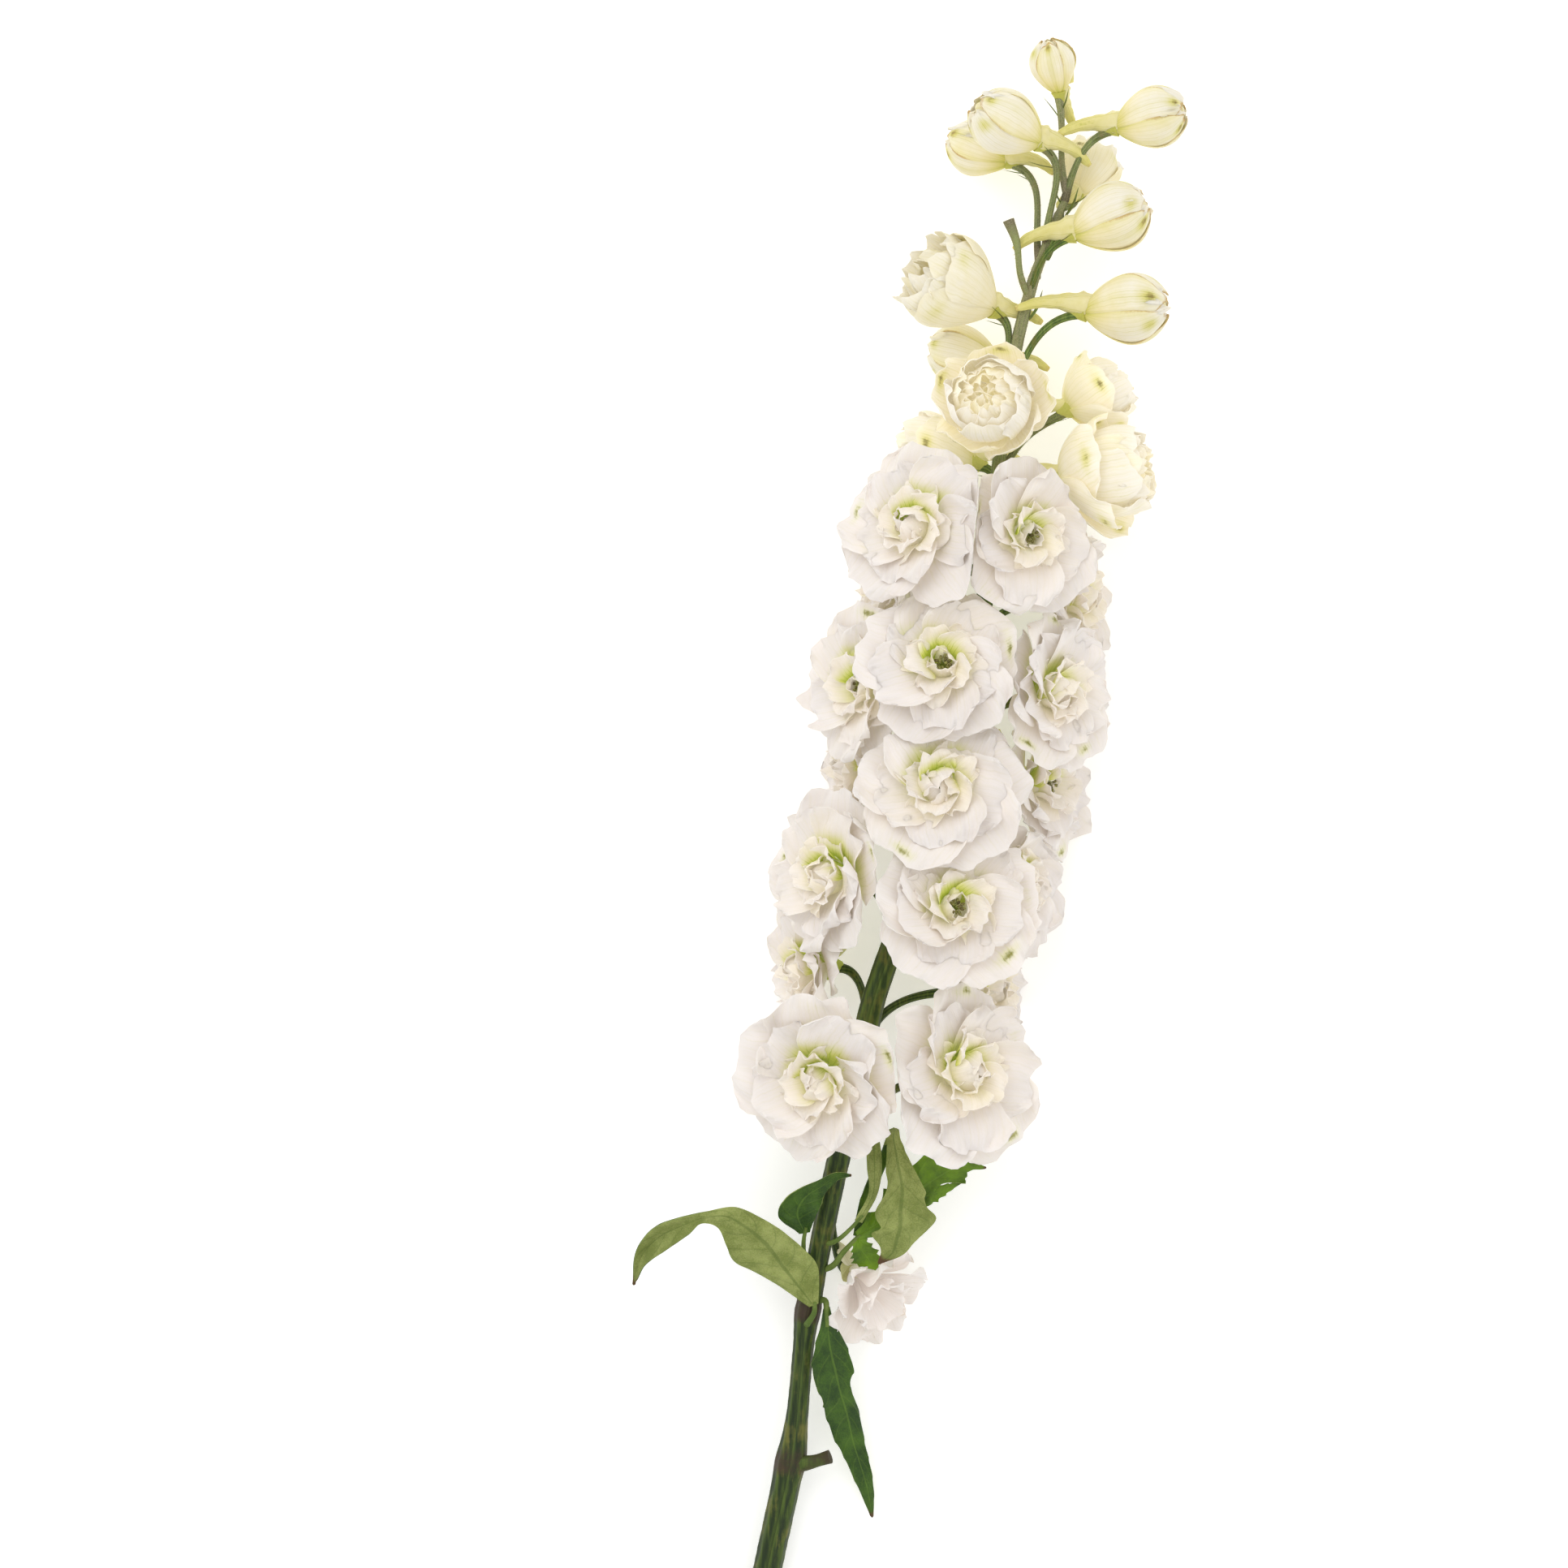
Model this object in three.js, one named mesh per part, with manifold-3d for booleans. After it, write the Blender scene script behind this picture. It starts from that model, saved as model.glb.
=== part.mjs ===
// A cut spike of white double delphinium, lying on its side on a flat surface.
//
// Millimetres. +Y runs up the spike towards its buds, +X is to the right and +Z is up from the surface.
// The origin is on the surface, under the middle of the whole spike.
//
// The spike is one green stem with its flower stalks, five leaves, and a bloom on each stalk. Each bloom is
// a set of petals that stand round one axis in layers and join in a small core, with a hollow spur at the
// back. A petal is first worked out as a thin sheet. Where it would meet the surface, the stem or the next
// bloom, the sheet is bent clear. Then it gets its thickness.

import * as THREE from "three";
import Module from "manifold-3d";

const wasm = await Module();
wasm.setup();

// ---- Driving dimensions, in millimetres and degrees ----

const PETAL_THICK = 0.9; // at the middle of a petal, thinning to its rim
const MIDDLE_THICK = 2.4; // where the petals of a layer meet
const LEAF_THICK = 1.0;
const GAP = 0.34; // air left between two pieces
const BEND_SOFT = 2.2; // how gradually a petal bends away from a neighbour
const FLOOR_SOFT = 0.6; // and from the surface that it is pressed on
const STALK_SIDES = 4;
const STEM_SIDES = 8;
const STEM_STEP = 14; // length of stem between two rings

// The stem's centre line from the cut to the top: y, x, z and radius. It swells a little at its two nodes.
const STEM = [
  [-270, -56, 4.62, 5],
  [-256, -53, 4.7, 5],
  [-219, -45, 8, 4.9],
  [-196, -40, 10.5, 4.9],
  [-186, -38, 11.5, 5],
  [-172, -36, 13, 3.7],
  [-150, -34, 15.8, 3.5],
  [-138, -32.6, 17.5, 4.1],
  [-122, -29.6, 19.7, 3.7],
  [-94, -24, 23.5, 3.9],
  [-55, -15, 28.5, 4.1],
  [-39, -12, 30, 4.1],
  [2, 2, 33, 3.9],
  [49, 15, 34, 3.5],
  [91, 24, 34, 2.9],
  [138, 29, 33, 2.3],
  [169, 33.5, 32, 2.2],
  [193, 39.5, 31, 2],
  [205, 44, 31, 1.7],
  [221, 50.5, 31, 1.3],
];

// A spur's centre line and thickness, in shares of its length and of SPUR_THICK: back, up, thick. A bud's
// spur lies straight back and that of an open bloom turns up along the stem.
const SPUR_THICK = 1.9;
const SPUR_BACK = [[0.36, 0.08, 1.1], [0.7, 0.1, 0.9], [1, 0.02, 0.68]];
const SPUR_UP = [[0.34, 0.2, 1.1], [0.5, 0.55, 0.9], [0.58, 0.95, 0.68]];

const PITH_RADIUS = 2.4; // the hollow in the cut end
const PITH_DEPTH = 6;

// The stages of a bloom. Lengths are shares of the bloom's size.
// back: how far the core lies behind the middle of the bloom. under: how far the core swells towards the
// stalk. spur: its length and path. egg: the closed inner petals. layers: from the outside in, and in each:
// rows: shares of a petal's length where its sheet has points, beyond the notch where it leaves its
// neighbours. rise: the angle of the petal above the plane of the bloom at its foot and at its tip.
// ring and lift: where the foot of the petal stands, out from the axis and forward from the base.
// cup: radius of the petal across its width. wrap: for petals that close round the axis instead, the
// angle, in radians, that each half covers. pinch: how much the foot of a closed bloom is drawn in.
// lean: how far one edge lies over the next petal.
// wave: height of the ripples at the rim. turn: share of a petal's turn by which the layer is set round.
// loose: how much the petals of the layer differ from one another.
const NOTCH = 0.13;
const STAGES = {
  bud: {
    back: 0.5,
    under: 0.1,
    spur: { long: 0.72, path: SPUR_BACK },
    egg: { radius: 0.3, height: 0.97 },
    layers: [
      { rows: [0.34, 0.66, 0.95], count: 5, long: 1.34, wide: 0.8, rise: [10, 160], ring: 0.02, lift: 0,
        wrap: 0.74, pinch: 0.42, lean: 0.16, wave: 0, turn: 0, loose: 0.2 },
    ],
  },
  opening: {
    back: 0.5,
    under: 0.1,
    spur: { long: 0.6, path: SPUR_BACK },
    layers: [
      { rows: [0.34, 0.68, 0.95], count: 5, long: 1.16, wide: 0.9, rise: [8, 122], ring: 0.02, lift: 0,
        wrap: 0.8, pinch: 0.5, lean: 0.16, wave: 0.02, turn: 0, loose: 0.3 },
      { rows: [0.4, 0.94], count: 5, long: 1.2, wide: 0.66, rise: [30, 126], ring: 0.02, lift: 0.06,
        wrap: 0.76, pinch: 0.3, lean: 0.16, wave: 0.04, turn: 0.5, loose: 0.3 },
    ],
  },
  half: {
    back: 0.36,
    under: 0.08,
    spur: { long: 0.45, path: SPUR_BACK },
    layers: [
      { rows: [0.4, 0.75, 0.96], count: 5, long: 0.74, wide: 0.62, rise: [8, 82], ring: 0.02, lift: 0,
        cup: 0.46, pinch: 0.2, lean: 0.16, wave: 0.03, turn: 0, loose: 0.7 },
      { rows: [0.4, 0.75, 0.96], count: 5, long: 0.84, wide: 0.58, rise: [14, 124], ring: 0.02, lift: 0.05,
        wrap: 0.74, lean: 0.2, wave: 0.03, turn: 0.5, loose: 0.3 },
      { rows: [0.5, 0.94], count: 5, long: 0.72, wide: 0.42, rise: [30, 134], ring: 0.02, lift: 0.08,
        wrap: 0.74, lean: 0.2, wave: 0.03, turn: 0.2, loose: 0.3 },
    ],
  },
  open: {
    back: 0.17,
    under: 0.07,
    spur: { long: 0.32, path: SPUR_UP },
    layers: [
      { rows: [0.42, 0.76, 0.96], count: 5, long: 0.56, wide: 0.52, rise: [40, -8], ring: 0.02, lift: 0,
        cup: 1.1, lean: 0.18, wave: 0.03, turn: 0, loose: 0.55 },
      { rows: [0.5, 0.93], count: 5, long: 0.47, wide: 0.4, rise: [50, 2], ring: 0.03, lift: 0.04,
        cup: 0.5, lean: 0.18, wave: 0.035, turn: 0.5, loose: 0.7 },
      { rows: [0.45, 0.93], count: 5, long: 0.27, wide: 0.22, rise: [84, 50], ring: 0.055, lift: 0.08,
        wrap: 0.76, lean: 0.22, wave: 0.035, turn: 0.2, loose: 0.2 },
    ],
  },
  faded: {
    back: 0.3,
    under: 0.08,
    spur: { long: 0.45, path: SPUR_BACK },
    layers: [
      { rows: [0.42, 0.76, 0.96], count: 5, long: 0.7, wide: 0.46, rise: [56, 20], ring: 0.02, lift: 0,
        wrap: 0.84, lean: 0.18, wave: 0.04, turn: 0, loose: 0.4 },
      { rows: [0.5, 0.93], count: 5, long: 0.6, wide: 0.36, rise: [72, 50], ring: 0.02, lift: 0.06,
        wrap: 0.76, lean: 0.2, wave: 0.02, turn: 0.5, loose: 0.2 },
    ],
  },
};

// Every bloom: its stage, where the middle of its face or body is, the way it faces (turn about the stem
// from +X towards +Z, then lift towards the tip of the spike), its size (a bud's length, or the width of a
// bloom), the height on the stem where its stalk leaves, and a seed for the small differences of its petals.
const BLOOMS = [
  { name: "bud_tip", stage: "bud", at: [46, 262, 34], faces: [130, 70], size: 18, foot: 221, seed: 1 },
  { name: "bud_upper_left", stage: "bud", at: [31, 243, 41], faces: [160, 28], size: 26, foot: 205, seed: 2 },
  { name: "bud_behind_left", stage: "bud", at: [23, 237, 15], faces: [196, 22], size: 22, foot: 199, seed: 3 },
  { name: "bud_upper_right", stage: "bud", at: [77, 245, 38], faces: [12, 14], size: 24, foot: 219, seed: 44 },
  { name: "bud_papery", stage: "opening", at: [57, 229, 14], faces: [300, 48], size: 20, foot: 213, seed: 525 },
  { name: "bud_mid_right", stage: "bud", at: [64, 213, 37], faces: [8, 22], size: 27, foot: 186, seed: 6 },
  { name: "bud_big_left", stage: "opening", at: [15, 191, 38], faces: [158, 28], size: 30, foot: 164, seed: 7 },
  { name: "bud_low_right", stage: "bud", at: [69, 184, 40], faces: [14, 4], size: 28, foot: 150, seed: 8 },
  { name: "bud_low_left", stage: "bud", at: [18, 170, 18], faces: [200, 14], size: 24, foot: 146, seed: 9 },

  { name: "half_front", stage: "half", at: [26, 153, 53], faces: [104, 12], size: 38, foot: 128, seed: 291 },
  { name: "half_right", stage: "half", at: [60, 157, 25], faces: [352, 26], size: 29, foot: 126, seed: 12 },
  { name: "half_right_low", stage: "half", at: [62, 131, 41], faces: [14, 8], size: 40, foot: 104, seed: 13 },
  { name: "half_back", stage: "half", at: [10, 138, 14.5], faces: [196, 12], size: 34, foot: 112, seed: 334 },

  { name: "floret_01", stage: "open", at: [1, 114, 57], faces: [116, 14], size: 52, foot: 92, seed: 21 },
  { name: "floret_02", stage: "open", at: [37, 111, 56], faces: [62, 2], size: 49, foot: 86, seed: 22 },
  { name: "floret_03", stage: "open", at: [53, 92, 22], faces: [24, 2], size: 48, foot: 72, seed: 23 },
  { name: "floret_04", stage: "open", at: [-6, 97, 22], faces: [164, 4], size: 46, foot: 76, seed: 104 },
  { name: "floret_05", stage: "open", at: [10, 70, 62], faces: [96, 12], size: 52, foot: 48, seed: 65 },
  { name: "floret_06", stage: "open", at: [46, 61, 46], faces: [42, 4], size: 50, foot: 38, seed: 26 },
  { name: "floret_07", stage: "open", at: [-15, 63, 44], faces: [140, 4], size: 48, foot: 42, seed: 27 },
  { name: "floret_08", stage: "open", at: [9, 31, 62], faces: [90, 12], size: 54, foot: 10, seed: 28 },
  { name: "floret_09", stage: "open", at: [44, 32, 22], faces: [26, 2], size: 48, foot: 14, seed: 29 },
  { name: "floret_10", stage: "open", at: [-17, 38, 20], faces: [164, 2], size: 46, foot: 16, seed: 30 },
  { name: "floret_11", stage: "open", at: [14, -7, 60], faces: [78, 10], size: 52, foot: -28, seed: 31 },
  { name: "floret_12", stage: "open", at: [35, 0, 39], faces: [34, 4], size: 48, foot: -20, seed: 32 },
  { name: "floret_13", stage: "open", at: [-26, 3, 43], faces: [144, 4], size: 50, foot: -18, seed: 33 },
  { name: "floret_14", stage: "open", at: [-33, -27, 20], faces: [160, -2], size: 46, foot: -44, seed: 34 },
  { name: "floret_15", stage: "open", at: [24, -34, 22], faces: [26, 2], size: 48, foot: -52, seed: 35 },
  { name: "floret_16", stage: "open", at: [-29, -62, 54], faces: [116, -16], size: 54, foot: -84, seed: 36 },
  { name: "floret_17", stage: "open", at: [17, -60, 50], faces: [54, 2], size: 54, foot: -88, seed: 37 },
  { name: "floret_faded", stage: "faded", at: [-13, -132, 12], faces: [45, -35], size: 34, foot: -100, seed: 38 },
];

// A stalk whose bud has dropped, and the stump of a side shoot: height on the stem, then the path's points.
const BARE_STALK = [[38.5, 187, 31], [35.5, 195, 34], [34, 206, 36], [31.5, 212.5, 37]];
const SIDE_STUMP = [[-38, -188, 12], [-31, -187, 14], [-25.4, -185.4, 15.5]];

// Each leaf: the path of its stalk, the stalk's radius, and its blades, from the foot to the tip. A row of a
// blade is three points: the left rim, the midrib and the right rim. The last row of a blade is its tip.
const LEAVES = {
  arched: {
    stalk: [[-32.2, -141, 22.7], [-30.7, -138.5, 23.3], [-30.4, -134.5, 23.9]],
    radius: 1,
    blades: [
      [
        [[-32.1, -136.3, 23.6], [-30.7, -135.7, 23.9], [-29.3, -135.1, 23.7]],
        [[-40.7, -130.4, 24.2], [-35.2, -130, 25.6], [-29, -127.7, 26.2]],
        [[-50, -124.9, 25.5], [-41.2, -122.1, 28.4], [-30.5, -121.2, 28.6]],
        [[-56.1, -121.2, 28], [-46.3, -115.1, 32.4], [-38, -113.7, 31.6]],
        [[-58.9, -115.6, 32], [-52.8, -109.6, 35.8], [-46.3, -107.7, 34]],
        [[-61.6, -110, 35.2], [-58.9, -106.3, 37.2], [-56.1, -103.5, 35.8]],
        [[-66, -108.6, 36], [-64.9, -106.6, 37], [-64, -104.6, 36.6]],
        [[-71.4, -112.6, 35.6], [-73.2, -109.6, 33.8], [-75.1, -107.2, 36]],
        [[-77.9, -117.4, 31.8], [-80.6, -113.6, 28.8], [-82.5, -110.9, 32]],
        [[-84.6, -122.4, 25.8], [-86, -119.8, 24], [-87.6, -117.9, 26]],
        [[-88.3, -129.2, 18.4], [-88.8, -129.6, 18.2], [-89.2, -129.1, 18.4]],
      ],
    ],
  },
  hanging: {
    stalk: [[-27, -134.6, 20], [-26.6, -138.5, 20.6], [-26.4, -143, 20.6]],
    radius: 1,
    blades: [
      [
        [[-24.5, -140.7, 20.2], [-26.3, -141.4, 20.7], [-28.4, -142.2, 20.6]],
        [[-21.2, -147.2, 18.9], [-25.6, -149, 20.4], [-30.4, -149.9, 20.8]],
        [[-17.9, -157.4, 16.6], [-23.6, -157.8, 18.2], [-30.8, -159.2, 19.6]],
        [[-18.9, -161.2, 16.4], [-22.5, -162.8, 17.4], [-28.2, -166.2, 18.4]],
        [[-16.2, -170.5, 12.8], [-19.9, -171.8, 14.2], [-27.3, -170.2, 16.4]],
        [[-14.2, -181.5, 10.2], [-18, -180.6, 11.4], [-24, -179.9, 12.6]],
        [[-12.9, -186.6, 8.6], [-16.2, -186.4, 9.4], [-21.6, -184.4, 10.6]],
        [[-11.2, -196.4, 5.4], [-13.3, -196.4, 6.2], [-16.6, -195.4, 7]],
        [[-11.4, -205.6, 2.6], [-11.7, -206.1, 2.7], [-12.2, -205.4, 2.8]],
      ],
    ],
  },
  palmate: {
    stalk: [[-24.9, -123.5, 20.5], [-21.4, -119, 23], [-15.8, -113, 24.2]],
    radius: 0.95,
    blades: [
      [
        [[-17.4, -112.2, 24.6], [-16.6, -113.4, 24.3], [-15.8, -114.6, 24.6]],
        [[-15, -109.4, 24.9], [-12.8, -111.2, 24.4], [-10.8, -113.2, 24.8]],
        [[-8.6, -101.5, 25], [-5, -105.5, 24], [-1.5, -109, 24.6]],
        [[-2, -91, 25.4], [4, -98, 24], [6.5, -103.3, 23.6]],
        [[6, -88.5, 24.6], [9.6, -94.4, 23.6], [10.4, -96.9, 23.4]],
        [[14.4, -86.4, 23.6], [14.2, -91.8, 23], [18.9, -95.4, 21.6]],
        [[20.4, -89.4, 21.8], [19.2, -91.3, 21.6], [18.4, -92.8, 21.4]],
        [[24.7, -91.4, 19.4], [24.9, -91.8, 19.3], [24.5, -92.1, 19.4]],
      ],
      [
        [[-0.8, -100.4, 24], [0.2, -101.8, 24], [1.4, -103, 24.1]],
        [[6.6, -97.4, 23.5], [7.2, -100, 23.6], [8.2, -102.6, 23.2]],
        [[11.7, -96.9, 22.6], [12, -98.2, 22.4], [12.4, -99.6, 22]],
        [[17.3, -95.9, 20.4], [17.5, -96.2, 20.3], [17.2, -96.5, 20.4]],
      ],
      [
        [[-15.2, -113, 24.4], [-16.6, -114.2, 24.2], [-18, -115.4, 24]],
        [[-13, -115.4, 24.6], [-15.6, -117.4, 24.4], [-18.4, -118.8, 24.1]],
        [[-9.8, -119.4, 24.6], [-13.2, -120.8, 24.2], [-17.6, -122.2, 23.6]],
        [[-10, -124.3, 22.8], [-10.3, -124.8, 22.7], [-10.8, -124.6, 22.8]],
      ],
      [
        [[-18, -113.2, 24.2], [-16.6, -113.6, 24], [-15.2, -114, 24.2]],
        [[-17, -107, 22], [-15.3, -107.2, 21.6], [-13.6, -107.4, 22]],
        [[-14.5, -98.5, 18.8], [-12.5, -98.5, 18.2], [-10.5, -98.5, 18.6]],
        [[-8.8, -86.5, 17.8], [-7, -86, 17.4], [-5.2, -86, 17.8]],
        [[-6.6, -79.6, 22.4], [-5, -79, 22.6], [-3.4, -79.4, 22.4]],
        [[-7.2, -83.2, 29], [-5, -82.6, 30], [-2.8, -83, 29]],
        [[-7.4, -90, 31], [-3.8, -89.8, 33], [0.4, -89.6, 31]],
        [[-7.6, -98.5, 31.6], [-2.4, -98, 34.6], [4.4, -98.6, 32]],
        [[-10.7, -105.8, 32], [-3, -105, 35.4], [5.7, -103.6, 32.4]],
        [[-9, -110.2, 33.2], [-3.2, -109.6, 35.4], [8.4, -107.6, 31.2]],
        [[-12.2, -112.3, 31.6], [-4.2, -114, 34.2], [3, -113.5, 32]],
        [[-9.4, -116.4, 32.2], [-5.2, -117.6, 33], [-1, -118.2, 32]],
        [[-10.2, -121.6, 31], [-9.8, -122, 31], [-9.2, -121.7, 31]],
      ],
    ],
  },
  curled: {
    stalk: [[-33.5, -119.5, 21.5], [-34, -115.5, 24], [-33.2, -110.5, 26.4]],
    radius: 0.8,
    blades: [
      [
        [[-35.4, -112.6, 25.4], [-33.7, -112.4, 25.5], [-32, -112, 25.4]],
        [[-42.2, -106.5, 29.5], [-36, -105.5, 27.8], [-30.2, -107, 29.4]],
        [[-39.5, -100.5, 31.5], [-33.5, -100.6, 29.8], [-28.4, -102.8, 30.6]],
        [[-29.8, -95.4, 32], [-28.4, -97.2, 31.2], [-26.8, -99, 31.6]],
        [[-23.2, -92.6, 31.8], [-22.8, -93.6, 31.4], [-22.4, -94.8, 31.6]],
        [[-18.8, -93.2, 30], [-18.7, -93.6, 30], [-18.8, -94, 30]],
      ],
    ],
  },
  strip: {
    stalk: [[-23.6, -115, 25.2], [-19, -111, 27.6], [-15, -106.5, 28.6]],
    radius: 0.75,
    blades: [
      [
        [[-17.6, -108.2, 28.2], [-16.4, -108.6, 28.3], [-15.2, -109, 28.2]],
        [[-12.9, -98.6, 28.6], [-11.6, -99, 29.4], [-10.4, -99.4, 28.6]],
        [[-13.4, -91, 28], [-11.2, -91.4, 29.5], [-8.9, -91.8, 28.5]],
        [[-13.6, -84, 26.5], [-11.4, -84, 28], [-9.6, -84, 27]],
        [[-11.9, -78, 25.5], [-11.5, -77.6, 25.6], [-11.1, -78, 25.5]],
      ],
    ],
  },
};

// ---- Small mathematics ----

const radians = THREE.MathUtils.degToRad;
const vec = (x, y, z) => new THREE.Vector3(x, y, z);

/** A fixed number from 0 to 1 for each seed and place, so that each petal differs and never changes. */
function chance(seed, place) {
  const wild = Math.sin(seed * 12.9898 + place * 78.233) * 43758.5453;
  return wild - Math.floor(wild);
}

/** A number from -size to +size, fixed by its seed and place. */
function jitter(seed, place, size) {
  return (2 * chance(seed, place) - 1) * size;
}

/** Keeps a distance above zero: unchanged when large, and easing towards zero when it goes below. */
function ease(distance, soft) {
  return distance > 30 * soft ? distance : soft * Math.log1p(Math.exp(distance / soft));
}

/** The unit vector of a turn about the stem and a lift towards its tip, in degrees. */
function direction(turn, lift) {
  const level = Math.cos(radians(lift));
  return vec(level * Math.cos(radians(turn)), Math.sin(radians(lift)), level * Math.sin(radians(turn)));
}

/** The stem's centre and radius at a height y: a cubic through the rows of STEM. */
function stemAt(y) {
  const last = STEM.length - 2;
  let row = STEM.findIndex((next) => next[0] > y) - 1;
  row = row < -1 ? last : Math.max(0, Math.min(last, row));
  const [a, b] = [STEM[row], STEM[row + 1]];
  const before = STEM[Math.max(0, row - 1)];
  const after = STEM[Math.min(STEM.length - 1, row + 2)];
  const span = b[0] - a[0];
  const t = THREE.MathUtils.clamp((y - a[0]) / span, 0, 1);
  const cubic = (k) => {
    const leave = ((b[k] - before[k]) / (b[0] - before[0])) * span;
    const arrive = ((after[k] - a[k]) / (after[0] - a[0])) * span;
    const rest = 2 * t ** 3 - 3 * t ** 2;
    return (1 + rest) * a[k] + (t ** 3 - 2 * t ** 2 + t) * leave - rest * b[k] + (t ** 3 - t ** 2) * arrive;
  };
  return { centre: vec(cubic(1), y, cubic(2)), radius: cubic(3) };
}

// ---- Solids ----

/** A closed solid from shared points and triangles. */
function solid(points, triangles) {
  const mesh = new wasm.Mesh({
    numProp: 3,
    vertProperties: new Float32Array(points.flatMap((p) => [p.x, p.y, p.z])),
    triVerts: new Uint32Array(triangles.flat()),
  });
  return new wasm.Manifold(mesh);
}

/** All solids joined in one. */
function join(solids) {
  return solids.reduce((all, next) => all.add(next));
}

/** The largest of the bodies that a solid falls into, so that a scrap left by a cut is dropped. */
function largest(body) {
  return body.decompose().sort((a, b) => b.volume() - a.volume())[0];
}

/** Rings of points joined into a closed skin, with a point in the middle of each end. */
function loft(rings, startCentre, endCentre) {
  const sides = rings[0].length;
  const points = [...rings.flat(), startCentre, endCentre];
  const start = points.length - 2;
  const end = points.length - 1;
  const triangles = [];
  for (let ring = 0; ring + 1 < rings.length; ring += 1) {
    for (let side = 0; side < sides; side += 1) {
      const a = ring * sides + side;
      const b = ring * sides + ((side + 1) % sides);
      triangles.push([a, b, b + sides], [a, b + sides, a + sides]);
    }
  }
  const lastRing = (rings.length - 1) * sides;
  for (let side = 0; side < sides; side += 1) {
    const next = (side + 1) % sides;
    triangles.push([start, next, side], [end, lastRing + side, lastRing + next]);
  }
  return solid(points, triangles);
}

/** A round tube along a curve, with radius(t) at each share t of its length. */
function tube(curve, steps, sides, radius) {
  const frames = curve.computeFrenetFrames(steps, false);
  const rings = [];
  for (let step = 0; step <= steps; step += 1) {
    const centre = curve.getPointAt(step / steps);
    const ring = [];
    for (let side = 0; side < sides; side += 1) {
      const angle = (2 * Math.PI * side) / sides;
      const out = frames.normals[step].clone().multiplyScalar(Math.cos(angle));
      out.addScaledVector(frames.binormals[step], Math.sin(angle));
      ring.push(centre.clone().addScaledVector(out, radius(step / steps)));
    }
    rings.push(ring);
  }
  return loft(rings, curve.getPointAt(0), curve.getPointAt(1));
}

/** The two faces of a sheet point, half the thickness to either side along the sheet's own normal. */
function faces(here, along, across, thick) {
  const normal = along.clone().cross(across).normalize();
  return [
    here.clone().addScaledVector(normal, thick / 2),
    here.clone().addScaledVector(normal, -thick / 2),
  ];
}

/**
 * A strip of three points a row, left rim, middle and right rim, made a solid blade. The rims and the last
 * row are shared by both faces. The first row is given as indices of points that are there already.
 */
function blade(points, triangles, first, rows, before, thick) {
  let last = first;
  let previous = before;
  rows.forEach(([left, middle, right], row) => {
    const next = rows[row + 1] ?? [left, middle, right];
    const start = points.length;
    let now;
    if (row === rows.length - 1) {
      points.push(left, middle, right);
      now = { left: start, up: start + 1, down: start + 1, right: start + 2 };
    } else {
      const along = next[1].clone().sub(previous);
      points.push(left, ...faces(middle, along, right.clone().sub(left), thick), right);
      now = { left: start, up: start + 1, down: start + 2, right: start + 3 };
    }
    triangles.push([last.left, now.left, now.up], [last.left, now.up, last.up]);
    triangles.push([last.up, now.up, now.right], [last.up, now.right, last.right]);
    triangles.push([last.left, now.down, now.left], [last.left, last.down, now.down]);
    triangles.push([last.down, now.right, now.down], [last.down, last.right, now.right]);
    last = now;
    previous = middle;
  });
}

// ---- Where each bloom stands, and its own share of the room ----

/** A bloom's axes: out along the way it faces, up to its spur, and across. Its base is at the core. */
function placed(bloom) {
  const facing = direction(...bloom.faces);
  const across = vec(0, 1, 0).cross(facing).normalize();
  const up = facing.clone().cross(across).normalize();
  const heart = vec(...bloom.at);
  const base = heart.clone().addScaledVector(facing, -STAGES[bloom.stage].back * bloom.size);
  const radius = 0.5 * bloom.size;
  const depth = bloom.size * STAGES[bloom.stage].back;
  return { ...bloom, facing, across, up, heart, base, radius, depth };
}

const blooms = BLOOMS.map(placed);

/** How far a bloom spreads about its centre in each direction, as a symmetric matrix. */
function spread(bloom) {
  const f = bloom.facing.toArray();
  const flat = (0.55 * bloom.radius) ** 2;
  const deep = (0.6 * bloom.depth) ** 2;
  const entry = (i, j) => (i === j ? flat : 0) + (deep - flat) * f[i] * f[j];
  return new THREE.Matrix3(
    entry(0, 0), entry(0, 1), entry(0, 2),
    entry(1, 0), entry(1, 1), entry(1, 2),
    entry(2, 0), entry(2, 1), entry(2, 2),
  );
}

/** The plane between two blooms that parts them best: it lies flat between two that face alike. */
function parting(one, other) {
  const from = one.heart.clone().addScaledVector(one.facing, -0.3 * one.depth);
  const to = other.heart.clone().addScaledVector(other.facing, -0.3 * other.depth);
  const [a, b] = [spread(one), spread(other)];
  const both = new THREE.Matrix3().set(...a.clone().transpose().elements.map((e, k) => {
    return e + b.clone().transpose().elements[k];
  }));
  const normal = to.clone().sub(from).applyMatrix3(both.invert()).normalize();
  const reach = (matrix) => Math.sqrt(normal.dot(normal.clone().applyMatrix3(matrix)));
  const share = reach(a) / (reach(a) + reach(b));
  const point = from.lerp(to, share);
  return { normal: normal.negate(), point };
}

/** The planes that hem a bloom in: one to each near neighbour, each with its inside towards the bloom. */
function wallsOf(bloom) {
  const near = blooms.filter((other) => {
    const apart = other.heart.distanceTo(bloom.heart);
    return other !== bloom && apart < 1.25 * (bloom.radius + other.radius);
  });
  return near.map((other) => parting(bloom, other));
}

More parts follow.
